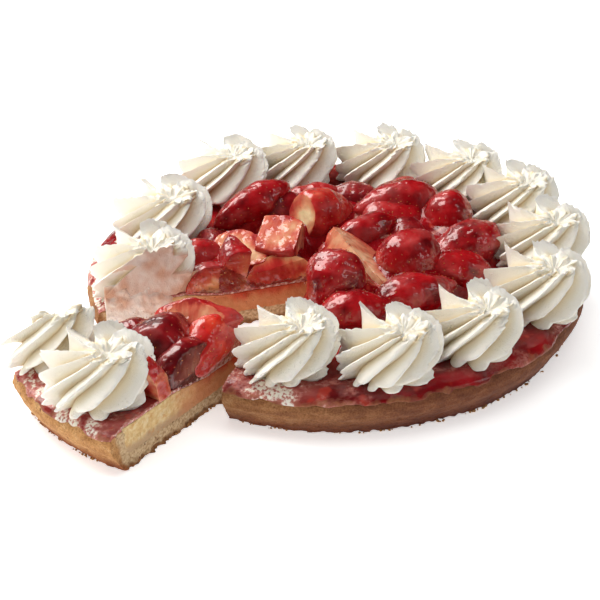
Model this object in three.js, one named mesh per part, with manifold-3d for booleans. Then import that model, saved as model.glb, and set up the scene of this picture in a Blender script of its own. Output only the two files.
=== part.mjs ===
// A strawberry tart with one slice drawn about half-way out of it, in millimetres.
// The origin is the middle of the round foot, which rests on z = 0. +X is right, +Y away from the cut.
import * as THREE from "three";
import { mergeVertices } from "three/addons/utils/BufferGeometryUtils.js";
import Module from "manifold-3d";

const wasm = await Module();
wasm.setup();

// The round cake, mm.
const rimRadius = 125;
const footRadius = 118.5;
const footCorner = 3;
const floorThickness = 8; // shortcrust under the filling
const wallThickness = 9; // shortcrust round the filling
const shoulderHeight = 16; // where the wall is widest
const lapHeight = 19.5; // lower edge of the glaze that has run over the rim
const rimHeight = 21.3; // top of the crust's wall
const bankHeight = 21.9; // top of the filling under the cream
const centreHeight = 17.7; // top of the filling in the middle, which has sunk under the fruit
const basinRadius = 80; // where the filling starts to sink
const basinSlope = 19; // width of the slope down to the middle
const glazeThickness = 1.3;
const lapThickness = 0.9; // glaze on the outside of the rim
const fitGap = 0.3; // air between pieces that touch
const roundSegments = 48;

// The cut, mm and degrees anticlockwise from +X.
const notchApex = new THREE.Vector2(-6, -5.4);
const notchFrom = 200;
const notchTo = 246.4;
const slicePoint = new THREE.Vector2(8, -9); // from the middle of the slice's own rim
const sliceFrom = 200.3;
const sliceTo = 235;
const sliceShift = new THREE.Vector3(-37, -45.5, 0); // how far the slice has been drawn out
const cutReach = 190;
const cutHeight = 90;
const tearStep = 11; // length of one facet of a torn cut

// The piped cream, mm and degrees.
const creamLift = 1.02; // height of a rosette in radii, unless it has its own
const creamFoot = bankHeight + glazeThickness + 2 * fitGap; // the glaze's upper face, and a gap
const petalCount = 9;
const petalCrowd = 0.42; // how much closer the petals stand opposite petalOpenSide
const petalOpenSide = 40;
const windMean = 85; // turn of a petal from its foot to the hub
const windSway = 50; // how much more it turns on windSide, and less opposite
const windSide = 20;
const crestPart = 0.64; // where the crest stands between its two grooves
const tipMiddle = 0.55; // height of a petal's outer tip, in rosette heights
const tipSwing = 0.27; // how much higher it is on tipHighSide, and lower opposite
const tipHighSide = 100;
const tipStep = 1.6; // how sharply it changes from high to low
const grooveSwing = 0.16;
const collarSide = 60; // where the petals bulge out and stand up behind the hub
const collarMean = 0.45;
const collarSway = 0.8;
const hubHeight = 0.96;
const craterHeight = 0.88;
const hubLean = new THREE.Vector2(9.5, -4.5); // how far the hub was drawn to the side
const leanStart = 0.22;
const leanPower = 1.15;
const creamSeed = 100;
// Each rosette's angle and distance from the middle, and its radius.
const cakeCream = [
  { angle: 194.6, reach: 98.6, radius: 26, lift: 1.1 },
  { angle: 160.5, reach: 95, radius: 26.5 },
  { angle: 126, reach: 103, radius: 25.5 },
  { angle: 102, reach: 101.5, radius: 25 },
  { angle: 75.5, reach: 103, radius: 25 },
  { angle: 50.5, reach: 103.5, radius: 25.5 },
  { angle: 28.5, reach: 105, radius: 26 },
  { angle: 4, reach: 102.5, radius: 25.5 },
  { angle: 335.5, reach: 104, radius: 26.5 },
  { angle: 307, reach: 100, radius: 25 },
  { angle: 282, reach: 101.5, radius: 25 },
  { angle: 255.5, reach: 98.5, radius: 25 },
];
// The slice's are measured from the middle of its own rim.
const sliceCream = [
  { angle: 226.4, reach: 103, radius: 26 },
  { angle: 201.5, reach: 105, radius: 27 },
];

const cream = { color: 0xf4efe3, roughness: 0.6 };
const pastry = { color: 0xb98a58, roughness: 0.85 };
const custard = { color: 0xdcb878, roughness: 0.75 };
const jelly = { color: 0xa3202a, roughness: 0.15 };
const redFruit = { color: 0xb0121c, roughness: 0.2 };
const darkFruit = { color: 0x7d0a14, roughness: 0.2 };
const paleFruit = { color: 0xd98f6c, roughness: 0.3 };

// A seeded draw between 0 and 1, so that every build is alike.
function seededRandom(seed) {
  let state = seed >>> 0;
  return () => {
    state = (Math.imul(state, 1664525) + 1013904223) >>> 0;
    return state / 2 ** 32;
  };
}

const radians = THREE.MathUtils.degToRad;

function direction(degrees) {
  const angle = radians(degrees);
  return new THREE.Vector2(Math.cos(angle), Math.sin(angle));
}

// Solids: closed three.js geometry to manifold-3d and back.

function solidOf(geometry) {
  const bare = geometry.clone();
  bare.deleteAttribute("normal");
  bare.deleteAttribute("uv");
  const merged = mergeVertices(bare, 1e-3);
  const corners = merged.index.array;
  const triVerts = [];
  for (let i = 0; i < corners.length; i += 3) {
    const [a, b, c] = corners.slice(i, i + 3);
    if (a !== b && b !== c && c !== a) triVerts.push(a, b, c);
  }
  return new wasm.Manifold(
    new wasm.Mesh({
      numProp: 3,
      vertProperties: merged.attributes.position.array,
      triVerts: new Uint32Array(triVerts),
    }),
  );
}

function largestBody(solid) {
  return solid.decompose().reduce((best, body) => (body.volume() > best.volume() ? body : best));
}

function addPiece(parent, name, solid, finish, place) {
  const { vertProperties, triVerts } = largestBody(solid).getMesh();
  const geometry = new THREE.BufferGeometry();
  geometry.setAttribute("position", new THREE.BufferAttribute(vertProperties, 3));
  geometry.setIndex(new THREE.BufferAttribute(triVerts, 1));
  geometry.translate(-place.x, -place.y, -place.z);
  geometry.computeVertexNormals();
  const mesh = new THREE.Mesh(geometry, new THREE.MeshStandardMaterial({ ...finish, metalness: 0 }));
  mesh.name = name;
  mesh.position.copy(place).sub(parent.position);
  parent.add(mesh);
}

// The cake: three turned layers, each a closed profile of [radius, height] from the axis round to the axis.

// How far the hand-pressed wall strays from a true circle.
function wallWave(angle) {
  return 0.45 * Math.sin(3 * angle + 0.7) + 0.35 * Math.sin(8 * angle + 2.1) + 0.2 * Math.sin(17 * angle);
}

// How much further the glaze has run down at an angle.
function lapWave(angle) {
  return 0.5 * Math.sin(5 * angle + 1.3) + 0.35 * Math.sin(13 * angle);
}

function turnedLayer(profile) {
  const points = profile.map(([radius, height]) => new THREE.Vector2(radius, height));
  const geometry = new THREE.LatheGeometry(points, roundSegments);
  geometry.rotateX(Math.PI / 2);
  const place = geometry.attributes.position;
  for (let i = 0; i < place.count; i++) {
    const radius = Math.hypot(place.getX(i), place.getY(i));
    const angle = Math.atan2(place.getY(i), place.getX(i));
    const scale = 1 + wallWave(angle) / rimRadius;
    const isLapEdge = radius > rimRadius && Math.abs(place.getZ(i) - lapHeight) < 0.5;
    const height = place.getZ(i) - (isLapEdge ? lapWave(angle) : 0);
    place.setXYZ(i, place.getX(i) * scale, place.getY(i) * scale, height);
  }
  return geometry;
}

const wallInside = rimRadius - wallThickness;

const crustProfile = [
  [0, 0],
  [footRadius - footCorner, 0],
  [footRadius - footCorner * 0.3, footCorner * 0.3],
  [footRadius, footCorner],
  [rimRadius - 1, shoulderHeight - 4],
  [rimRadius, shoulderHeight],
  [rimRadius - 0.6, shoulderHeight + 2.5],
  [rimRadius - 2, rimHeight - 0.8],
  [rimRadius - 4.5, rimHeight],
  [wallInside, rimHeight],
  [wallInside - 2, floorThickness + 1.5],
  [wallInside - 4, floorThickness],
  [0, floorThickness],
];

// The filling's upper face, from the wall to the sunk middle.
const fillingTop = [
  [wallInside - fitGap, bankHeight],
  [basinRadius, bankHeight],
  [basinRadius - basinSlope, centreHeight + 0.8],
  [0, centreHeight],
];

const fillingProfile = [
  [0, floorThickness + fitGap],
  [wallInside - 4.2, floorThickness + fitGap],
  [wallInside - 2.5, floorThickness + 1.9],
  ...fillingTop,
];

const glazeProfile = [
  ...fillingTop.map(([radius, height]) => [radius, height + fitGap]).reverse(),
  [rimRadius - 4.4, rimHeight + fitGap + 0.1],
  [rimRadius - 1.5, rimHeight - 0.4],
  [rimRadius + 0.1, lapHeight + 1],
  [rimRadius + 0.4, lapHeight - 0.1],
  [rimRadius + fitGap + lapThickness, lapHeight + 0.2],
  [rimRadius + 0.9, rimHeight - 0.6],
  [rimRadius - 4, rimHeight + 0.3 + glazeThickness],
  ...fillingTop.map(([radius, height]) => [radius, height + fitGap + glazeThickness]),
];

// Everything under the toppings in one solid, which they are trimmed against.
const bedProfile = [
  [0, -1],
  [rimRadius + 2.5, -1],
  [rimRadius + 2.5, lapHeight],
  ...glazeProfile.slice(-fillingTop.length - 1).map(([radius, height]) => [radius, height + fitGap]),
];

// A tall prism over the plan between two directions from a point.
// Its sides stray a little, as a knife leaves crumb.
function wedge(apex, from, to, tear, seed) {
  const random = seededRandom(seed);
  const sidePoints = (degrees) => {
    const along = direction(degrees);
    const across = new THREE.Vector2(-along.y, along.x);
    const points = [];
    for (let reach = tearStep; reach < cutReach; reach += tearStep) {
      const stray = tear * (2 * random() - 1);
      points.push(apex.clone().addScaledVector(along, reach).addScaledVector(across, stray));
    }
    return points;
  };
  const outline = new THREE.Shape([apex, ...sidePoints(from), ...sidePoints(to).reverse()]);
  const prism = new THREE.ExtrudeGeometry(outline, { depth: cutHeight, bevelEnabled: false });
  prism.translate(0, 0, -5);
  return solidOf(prism);
}

const layers = [
  { name: "crust", geometry: turnedLayer(crustProfile), finish: pastry, tear: 0.8 },
  { name: "filling", geometry: turnedLayer(fillingProfile), finish: custard, tear: 0.35 },
  { name: "glaze", geometry: turnedLayer(glazeProfile), finish: jelly, tear: 0.6 },
];

// The cream: a rosette piped through a star nozzle, which turned as it was lifted and drawn to one side.

// Levels up a petal, from foot to hub, in shares of the rosette. The crest's height is shared between
// the petal's tip and the hub; the groove's is its own. Bulge and rise are what the collar adds.
const petalLevels = [
  { along: 0, crest: 0.86, tip: 0, hub: 0, groove: 0.6, low: 0, bulge: 0, rise: 0, turn: 0 },
  { along: 0.15, crest: 0.84, tip: 0.42, hub: 0, groove: 0.63, low: 0.15, bulge: 0, rise: 0, turn: 0.12 },
  { along: 0.32, crest: 1, tip: 1, hub: 0, groove: 0.62, low: 0.35, bulge: -0.02, rise: 0.02, turn: 0.26 },
  { along: 0.55, crest: 0.77, tip: 0.54, hub: 0.46, groove: 0.56, low: 0.59, bulge: 0.16, rise: 0.05, turn: 0.49 },
  { along: 0.78, crest: 0.54, tip: 0.17, hub: 0.83, groove: 0.45, low: 0.79, bulge: 0.17, rise: 0.07, turn: 0.74 },
  { along: 1, crest: 0.34, tip: 0, hub: 1, groove: 0.33, low: 0.95, bulge: 0, rise: 0, turn: 1 },
];
const tipLevel = petalLevels[2];

// An even angle moved so that petals stand wide apart on the open side and close on the other.
function crowded(angle) {
  return angle + petalCrowd * Math.sin(angle - radians(petalOpenSide));
}

// Where a point that starts at an angle half-way up stands at a level.
function wound(angle, level) {
  const wind = radians(windMean) + radians(windSway) * Math.cos(angle - radians(windSide));
  return angle + wind * (level.turn - 0.5);
}

// From 1 on the side of the high tips to -1 on the side of the low ones.
function raised(angle) {
  return Math.tanh(tipStep * Math.cos(angle - radians(tipHighSide))) / Math.tanh(tipStep);
}

function rosetteGeometry(creamRadius, lift, seed) {
  const random = seededRandom(seed);
  const step = (2 * Math.PI) / petalCount;
  const start = random() * step;
  const petals = [];
  for (let index = 0; index < petalCount; index++) {
    const groove = crowded(start + (index + 0.4 * (random() - 0.5)) * step);
    const size = 0.93 + 0.14 * random();
    const rise = 0.16 * (random() - 0.5);
    petals.push({ groove, size, rise });
  }
  const ring = 2 * petalCount;
  const creamHeight = creamRadius * lift;
  const vertices = [0, 0, 0];
  const addPoint = (angle, reach, height, level) => {
    const lean = Math.max(0, (level.along - leanStart) / (1 - leanStart)) ** leanPower;
    const x = creamRadius * reach * Math.cos(angle) + hubLean.x * lean;
    const y = creamRadius * reach * Math.sin(angle) + hubLean.y * lean;
    vertices.push(x, y, creamHeight * height);
  };
  for (const level of petalLevels) {
    for (const [index, petal] of petals.entries()) {
      const isLast = index === petalCount - 1;
      const nextGroove = petals[(index + 1) % petalCount].groove + (isLast ? 2 * Math.PI : 0);
      const crest = petal.groove + (nextGroove - petal.groove) * crestPart;
      const tip = tipMiddle + tipSwing * raised(wound(crest, tipLevel)) + petal.rise;
      const grooveAngle = wound(petal.groove, level);
      const grooveRise = 1 + grooveSwing * raised(grooveAngle) * (1 - level.along);
      addPoint(grooveAngle, level.groove, level.low * grooveRise, level);
      const sway = collarMean + collarSway * Math.cos(crest - radians(collarSide));
      const collar = THREE.MathUtils.clamp(sway, 0, 1);
      const reach = (level.crest + level.bulge * collar) * (1 + (petal.size - 1) * (1 - level.along));
      const height = tip * level.tip + hubHeight * level.hub + level.rise * collar;
      addPoint(wound(crest, level), reach, height, level);
    }
  }
  vertices.push(hubLean.x, hubLean.y, creamHeight * craterHeight);
  const last = 1 + ring * petalLevels.length;
  const faces = [];
  for (let i = 0; i < ring; i++) {
    const next = (i + 1) % ring;
    faces.push(0, 1 + next, 1 + i);
    for (let level = 0; level < petalLevels.length - 1; level++) {
      const low = 1 + level * ring;
      const high = low + ring;
      faces.push(low + i, low + next, high + next, low + i, high + next, high + i);
    }
    faces.push(last - ring + i, last - ring + next, last);
  }
  const geometry = new THREE.BufferGeometry();
  geometry.setAttribute("position", new THREE.Float32BufferAttribute(vertices, 3));
  geometry.setIndex(faces);
  return geometry;
}

// The fruit: a strawberry turned about +X with its tip at +X, whole or cut.

const fruitSides = 8;
const fruitRings = 6;

// Each cut takes away what lies past some planes, given as [axis, side, place] in shares of the size.
const fruitCuts = {
  whole: [],
  half: [["z", -1, -0.05]],
  stem: [["x", -1, -0.3]],
  wedge: [["z", -1, -0.1], ["y", -1, -0.1]],
  block: [["z", -1, -0.25], ["x", 1, 0.2], ["x", -1, -0.28]],
  slab: [["z", -1, -0.3], ["z", 1, 0.3]],
};

function strawberryGeometry(length, width, thickness) {
  const profile = [];
  for (let ring = 0; ring <= fruitRings; ring++) {
    const share = ring / fruitRings;
    const radius = 0.5 * Math.sin(Math.PI * share ** 0.82) ** 0.62;
    profile.push(new THREE.Vector2(ring % fruitRings === 0 ? 0 : radius, share - 0.5));
  }
  const geometry = new THREE.LatheGeometry(profile, fruitSides);
  geometry.rotateZ(-Math.PI / 2);
  geometry.scale(-length, width, -thickness);
  geometry.rotateY(Math.PI);
  return geometry;
}

function cutFruit(fruit, grow) {
  const size = new THREE.Vector3(fruit.size[0], fruit.size[1], fruit.size[2]);
  const grown = size.clone().addScalar(2 * grow);
  const [roll, lift, turn] = fruit.tilt.map(radians);
  const pose = new THREE.Matrix4()
    .makeRotationFromEuler(new THREE.Euler(roll, -lift, turn, "ZYX"))
    .setPosition(...fruit.at);
  const whole = strawberryGeometry(grown.x, grown.y, grown.z).applyMatrix4(pose);
  return fruitCuts[fruit.cut].reduce((solid, [axis, side, place]) => {
    const knife = new THREE.BoxGeometry(100, 100, 100);
    const offset = new THREE.Vector3();
    offset[axis] = size[axis] * place + side * (50 + grow);
    knife.translate(offset.x, offset.y, offset.z).applyMatrix4(pose);
    return solid.subtract(solidOf(knife));
  }, solidOf(whole));
}

// at is the fruit's middle; size is its length, width and thickness; tilt is its roll, the lift of
// its tip and its turn about the cake.
const cakeFruit = [
  { at: [-43, 43, 34.5], size: [50, 21, 21], tilt: [0, -16, 212], cut: "whole", finish: redFruit },
  { at: [-28, 48, 29.5], size: [40, 25, 23], tilt: [0, 0, -6], cut: "whole", finish: darkFruit },
  { at: [-11, 60, 30.5], size: [30, 20, 19], tilt: [0, 10, 10], cut: "whole", finish: redFruit },
  { at: [-6, 34, 34.5], size: [42, 28, 27], tilt: [20, -14, 36], cut: "stem", finish: paleFruit },
  { at: [-26, 5, 32.5], size: [42, 30, 28], tilt: [198, 0, -14], cut: "block", finish: paleFruit },
  { at: [-47, -2, 32.5], size: [30, 26, 24], tilt: [196, -8, -34], cut: "half", finish: paleFruit },
  { at: [-47, -17, 28.5], size: [38, 25, 26], tilt: [-70, 50, 116], cut: "half", finish: redFruit },
  { at: [-66, -2, 27.5], size: [32, 22, 21], tilt: [10, 0, 14], cut: "whole", finish: redFruit },
  { at: [-59, -22, 24.5], size: [34, 22, 22], tilt: [-20, 0, 12], cut: "whole", finish: redFruit },
  { at: [-27, -15, 25.5], size: [36, 24, 22], tilt: [-60, 5, 14], cut: "wedge", finish: paleFruit },
  { at: [-1, -39, 33.5], size: [36, 33, 31], tilt: [20, -50, 240], cut: "whole", finish: redFruit },
  { at: [11, 8, 34.5], size: [50, 19, 18], tilt: [0, -14, 205], cut: "whole", finish: redFruit },
  { at: [12, -21, 35.5], size: [50, 34, 30], tilt: [243, -16, 304], cut: "wedge", finish: paleFruit },
  { at: [32, 44, 35.5], size: [48, 27, 24], tilt: [0, -6, 195], cut: "whole", finish: redFruit },
  { at: [33, 35, 30.5], size: [44, 30, 25], tilt: [0, 4, 12], cut: "whole", finish: redFruit },
  { at: [41, 68, 28.5], size: [34, 22, 20], tilt: [0, 0, 150], cut: "whole", finish: redFruit },
  { at: [58, 28, 33.5], size: [33, 26, 24], tilt: [0, -46, 262], cut: "whole", finish: redFruit },
  { at: [64, 3, 31.5], size: [43, 27, 24], tilt: [0, -16, 202], cut: "whole", finish: redFruit },
  { at: [36, -18, 34.5], size: [34, 34, 31], tilt: [0, -25, 300], cut: "whole", finish: redFruit },
  { at: [36, 15, 30.5], size: [28, 24, 22], tilt: [0, 0, 80], cut: "whole", finish: darkFruit },
  { at: [59, -20, 30.5], size: [37, 25, 22], tilt: [0, 10, 190], cut: "whole", finish: redFruit },
  { at: [37, -43, 30.5], size: [46, 26, 22], tilt: [0, 4, 18], cut: "whole", finish: redFruit },
  { at: [9, -56, 29.5], size: [36, 24, 20], tilt: [0, 0, 8], cut: "whole", finish: redFruit },
  { at: [10, 62, 28.5], size: [36, 23, 20], tilt: [0, 0, 170], cut: "whole", finish: darkFruit },
  { at: [-62, 14, 26.5], size: [30, 22, 18], tilt: [0, 0, 70], cut: "whole", finish: darkFruit },
  { at: [66, 46, 26.5], size: [26, 20, 18], tilt: [0, 0, 40], cut: "whole", finish: darkFruit },
];

const sliceFruit = [
  { at: [-80, -92, 32.5], size: [36, 31, 31], tilt: [20, 30, 60], cut: "whole", finish: darkFruit },
  {
    at: [-64, -79, 37.5],
    size: [42, 19, 16],
    tilt: [40, 4, -7],
    cut: "slab",
    finish: paleFruit,
    overhangs: true,
  },
  { at: [-82, -121, 29.5], size: [32, 16, 14], tilt: [0, 80, 235], cut: "slab", finish: paleFruit },
  {
    at: [-61, -91, 29.5],
    size: [46, 20, 24],
    tilt: [30, -16, 233],
    cut: "whole",
    finish: redFruit,
    overhangs: true,
  },
  { at: [-71, -106, 28.5], size: [36, 24, 24], tilt: [0, 0, 226], cut: "whole", finish: darkFruit },
  { at: [-95, -86, 29.5], size: [30, 23, 22], tilt: [0, 0, 200], cut: "whole", finish: darkFruit },
];

// Assembly. What is placed first keeps its form, and each later piece is trimmed to what it touches.

const tart = new THREE.Group();
const slice = new THREE.Group();
slice.position.copy(sliceShift);
tart.add(slice);

const sliceApex = slicePoint.clone().add(sliceShift);
const inPlace = new THREE.Vector3();
const moveToSlice = (geometry) => geometry.clone().translate(...sliceShift);

for (const [index, layer] of layers.entries()) {
  const notch = wedge(notchApex, notchFrom, notchTo, layer.tear, 11 + index);
  const share = wedge(sliceApex, sliceFrom, sliceTo, layer.tear, 21 + index);
  addPiece(tart, layer.name, solidOf(layer.geometry).subtract(notch), layer.finish, inPlace);
  const cutOut = solidOf(moveToSlice(layer.geometry)).intersect(share);
  addPiece(slice, "slice_" + layer.name, cutOut, layer.finish, sliceShift);
}

const bedGeometry = turnedLayer(bedProfile);
const cakePart = {
  group: tart,
  prefix: "",
  bed: solidOf(bedGeometry),
  knife: wedge(notchApex, notchFrom, notchTo, 0.2, 31),
  cut: (solid, knife) => solid.subtract(knife),
};
const slicePart = {
  group: slice,
  prefix: "slice_",
  bed: solidOf(moveToSlice(bedGeometry)),
  knife: wedge(sliceApex, sliceFrom, sliceTo, 0.2, 32),
  cut: (solid, knife) => solid.intersect(knife),
};
const placed = []; // toppings so far, each grown by the gap

function addTopping(part, name, solid, grown, finish, place, overhangs) {
  let shaped = solid;
  for (const other of [part.bed, ...placed]) shaped = shaped.subtract(other);
  if (!overhangs) shaped = part.cut(shaped, part.knife);
  placed.push(grown.add(solid));
  addPiece(part.group, part.prefix + name, shaped, finish, place);
}

function addRosette(part, number, { angle, reach, radius, lift = creamLift }, overhangs) {
  const plan = direction(angle).multiplyScalar(reach);
  const place = new THREE.Vector3(plan.x, plan.y, creamFoot).add(part.group.position);
  const shapeAt = (grow) => {
    const geometry = rosetteGeometry(radius, lift, creamSeed + number);
    const scale = 1 + grow / radius;
    return solidOf(geometry.scale(scale, scale, scale).translate(...place));
  };
  addTopping(part, "rosette_" + number, shapeAt(0), shapeAt(1.5 * fitGap), cream, place, overhangs);
}

function addFruit(part, list) {
  for (const [index, fruit] of list.entries()) {
    const place = new THREE.Vector3(...fruit.at);
    const name = "strawberry_" + (index + 1);
    const shapes = [cutFruit(fruit, 0), cutFruit(fruit, fitGap)];
    addTopping(part, name, ...shapes, fruit.finish, place, fruit.overhangs);
  }
}

for (const [index, rosette] of cakeCream.entries()) {
  const isPastCut = index === cakeCream.length - 1; // the last one stands out over the notch
  addRosette(cakePart, index + 1, rosette, isPastCut);
}
for (const [index, rosette] of sliceCream.entries()) {
  addRosette(slicePart, index + 1, rosette, index === 0); // the first hangs over the slice's side
}
addFruit(cakePart, cakeFruit);
addFruit(slicePart, sliceFruit);

export default tart;
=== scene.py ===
import math
from functools import partial

import bpy
import numpy as np
from mathutils import Matrix, Vector
from mathutils.bvhtree import BVHTree


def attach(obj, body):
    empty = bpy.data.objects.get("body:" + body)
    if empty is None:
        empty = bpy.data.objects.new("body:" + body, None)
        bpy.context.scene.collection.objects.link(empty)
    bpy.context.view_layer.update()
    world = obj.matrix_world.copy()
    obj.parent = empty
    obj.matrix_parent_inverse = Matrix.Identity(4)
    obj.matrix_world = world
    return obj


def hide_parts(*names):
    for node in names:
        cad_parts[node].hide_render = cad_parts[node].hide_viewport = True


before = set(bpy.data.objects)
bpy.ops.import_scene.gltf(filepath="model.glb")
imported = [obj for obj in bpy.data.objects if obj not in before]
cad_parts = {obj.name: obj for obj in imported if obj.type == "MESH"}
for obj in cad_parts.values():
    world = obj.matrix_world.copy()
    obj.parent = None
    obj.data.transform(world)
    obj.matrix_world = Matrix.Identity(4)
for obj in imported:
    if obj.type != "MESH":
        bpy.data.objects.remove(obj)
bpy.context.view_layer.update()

scene = bpy.context.scene
mm = 0.001

# The tart's own sizes, mm and degrees. Shapes are worked out in millimetres and turned to metres once,
# in addMesh.
tart = {
    "rimRadius": 125,
    "footRadius": 118.5,
    "shoulderHeight": 16,
    "rimHeight": 21.3,
    "bankHeight": 21.9,
    "centreHeight": 17.7,
    "basinRadius": 80,
    "basinSlope": 19,
    "floorThickness": 8,
    "wallThickness": 9,
    "glazeThickness": 1.3,
    "notchApex": (-6, -5.4),
    "notchFrom": 200,
    "notchTo": 246.4,
    "sliceMiddle": (-37, -45.5),
    "slicePoint": (-29, -54.5),
    "sliceFrom": 200.3,
    "sliceTo": 235,
}


def direction(degrees):
    angle = math.radians(degrees)
    return np.array([math.cos(angle), math.sin(angle)])


# The direction a quarter turn to the left.
def leftOf(along):
    return np.array([-along[1], along[0]])


# Noise that is the same each run: random values on a lattice, blended smoothly between its points. Each
# use has a seed number of its own.
lattice = {"strides": (374761393, 668265263, 1442695041), "seedStride": 97531, "stir": 1274126177,
           "word": 0xFFFFFFFF, "kept": 0xFFFFFF}


def latticeValue(cell, seed):
    mixed = (cell @ np.array(lattice["strides"]) + seed * lattice["seedStride"]) & lattice["word"]
    mixed = ((mixed ^ (mixed >> 13)) * lattice["stir"]) & lattice["word"]
    return ((mixed ^ (mixed >> 16)) & lattice["kept"]) / lattice["kept"] * 2 - 1


def lumps(points, size, seed, octaves=1):
    total, weight = np.zeros(len(points)), 1.0
    for octave in range(octaves):
        scaled = points / size * 2 ** octave
        cell = np.floor(scaled).astype(np.int64)
        part = scaled - cell
        part = part * part * (3 - 2 * part)
        for corner in np.ndindex(2, 2, 2):
            share = np.prod(np.where(corner, part, 1 - part), axis=1)
            total += weight * share * latticeValue(cell + np.array(corner), seed + octave)
        weight *= 0.5
    return total


def pits(points, size, seed, share=0.35):
    return np.clip(lumps(points, size, seed) - (1 - 2 * share), 0, None)


def ramp(value, low, high):
    part = np.clip((value - low) / (high - low), 0, 1)
    return part * part * (3 - 2 * part)


# Meshes.

def addMesh(name, vertices, faces, fields=None, smooth=True):
    mesh = bpy.data.meshes.new(name)
    mesh.from_pydata((np.asarray(vertices) * mm).tolist(), [], [list(map(int, f)) for f in faces])
    for field, values in (fields or {}).items():
        mesh.attributes.new(field, "FLOAT", "POINT").data.foreach_set("value", values.astype(np.float32))
    mesh.polygons.foreach_set("use_smooth", [smooth] * len(mesh.polygons))
    piece = bpy.data.objects.new(name, mesh)
    scene.collection.objects.link(piece)
    return piece


def gridFaces(rows, columns, closed=False, start=0):
    across = columns if closed else columns - 1
    row, column = np.meshgrid(np.arange(rows - 1), np.arange(across), indexing="ij")
    row, column = row.ravel(), column.ravel()
    beside = (column + 1) % columns
    low, high = start + row * columns, start + (row + 1) * columns
    return np.stack([low + column, low + beside, high + beside, high + column], axis=1)


# A surface of closed rings, from one pole to the other, as one closed body.
def ringBody(rings, lowPole, highPole):
    rows, columns = rings.shape[:2]
    vertices = np.concatenate([rings.reshape(-1, 3), [lowPole, highPole]])
    low, high = rows * columns, rows * columns + 1
    faces = gridFaces(rows, columns, closed=True).tolist()
    for i in range(columns):
        j = (i + 1) % columns
        faces.append([low, j, i])
        faces.append([high, (rows - 1) * columns + i, (rows - 1) * columns + j])
    return vertices, faces


def meshPoints(mesh):
    points = np.zeros(len(mesh.vertices) * 3)
    mesh.vertices.foreach_get("co", points)
    return points.reshape(-1, 3) / mm


def setField(mesh, field, values):
    layer = mesh.attributes.get(field) or mesh.attributes.new(field, "FLOAT", "POINT")
    layer.data.foreach_set("value", np.asarray(values, dtype=np.float32))


def cutWith(piece, knife, operation):
    cut = piece.modifiers.new("cut", "BOOLEAN")
    cut.operation = operation
    cut.solver = "MANIFOLD"
    cut.object = knife
    bpy.context.view_layer.update()
    shaped = bpy.data.meshes.new_from_object(piece.evaluated_get(bpy.context.evaluated_depsgraph_get()))
    piece.modifiers.clear()
    old, piece.data = piece.data, shaped
    shaped.name = old.name
    bpy.data.meshes.remove(old)


# Nodes.

def colour(code):
    shares = [int(code[i:i + 2], 16) / 255 for i in (1, 3, 5)]
    return [s / 12.92 if s <= 0.04045 else ((s + 0.055) / 1.055) ** 2.4 for s in shares] + [1]


# Links or sets each socket that is named.
def fillSockets(node, values):
    for key, value in values.items():
        if isinstance(value, bpy.types.NodeSocket):
            node.id_data.links.new(value, node.inputs[key])
        else:
            node.inputs[key].default_value = value


# Adds a node and gives back one of its outputs. Stops are the (place, colour) pairs of a colour ramp.
def addNode(tree, kind, values=None, settings=None, output=0, stops=()):
    made = tree.nodes.new("ShaderNode" + kind)
    for key, value in (settings or {}).items():
        setattr(made, key, value)
    fillSockets(made, values or {})
    for i, (place, code) in enumerate(stops):
        band = made.color_ramp.elements
        if i == len(band):
            band.new(1)
        band[i].position = place
        band[i].color = colour(code)
    return made.outputs[output]


# A Mix node's share is its socket 0, its two colours are sockets 6 and 7, and its result is output 2.
blend = {"data_type": "RGBA", "blend_type": "MIX"}
darken = {"data_type": "RGBA", "blend_type": "MULTIPLY"}


# A material with its own way to add nodes, the patterns that its look lists, each as (size in mm, detail,
# stretch in height), the place on the object and the fields that it reads.
def newMaterial(name, look, *fields):
    made = bpy.data.materials.new(name)
    made.use_nodes = True
    add = partial(addNode, made.node_tree)
    place = add("TexCoord", output="Object")
    noise = {}
    for pattern, (size, detail, *tall) in look.get("noise", {}).items():
        where = add("Mapping", {"Vector": place, "Scale": (1, 1, *tall)}) if tall else place
        noise[pattern] = add("TexNoise", {"Vector": where, "Scale": 1 / (size * mm), "Detail": detail})
    read = [add("Attribute", {}, {"attribute_name": field}, "Fac") for field in fields]
    return made, add, noise, place, *read


# Joins what is given and the look's own values to the material's shader.
def finishMaterial(made, look, sockets):
    fillSockets(made.node_tree.nodes["Principled BSDF"], {**sockets, **look["surface"]})
    return made


# Whipped cream: fat and air, nearly white, with light that soaks in. Its grooves are painted warmer and
# darker:
# painted shade. Its air bubbles, too fine to show, are drawn 1.3 mm apart as small pits, wider in some
# patches than in others.
creamLook = {
    # From crest to groove: the cream's own colour, then painted shade, warmer and darker, deep in the
    # grooves.
    "tintsAndGrooveShade": [(0.0, "#F5F3EE"), (0.6, "#F3EEE1"), (0.88, "#EEDFBE"), (1.0, "#DEC292")],
    "mottle": ("#EAE4D8", 0.3),
    # The stain colour is partly juice smeared by the knife, partly painted shade with a painted reddish
    # bounce of light.
    "stain": "#D8AE94",
    "noise": {"mottle": (5, 2), "patch": (13, 2), "grain": (0.7, 4)},
    "bubble": 1.3,
    "pitWidth": {"From Min": 0.42, "From Max": 0.6, "To Min": 0.05, "To Max": 0.35},
    "relief": {"bubble": 0.3, "grain": 0.35},
    "surface": {"Roughness": 0.55, "IOR": 1.45, "Subsurface Weight": 0.3,
                "Subsurface Radius": (1.0, 0.85, 0.65), "Subsurface Scale": 0.8 * mm},
}


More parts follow.
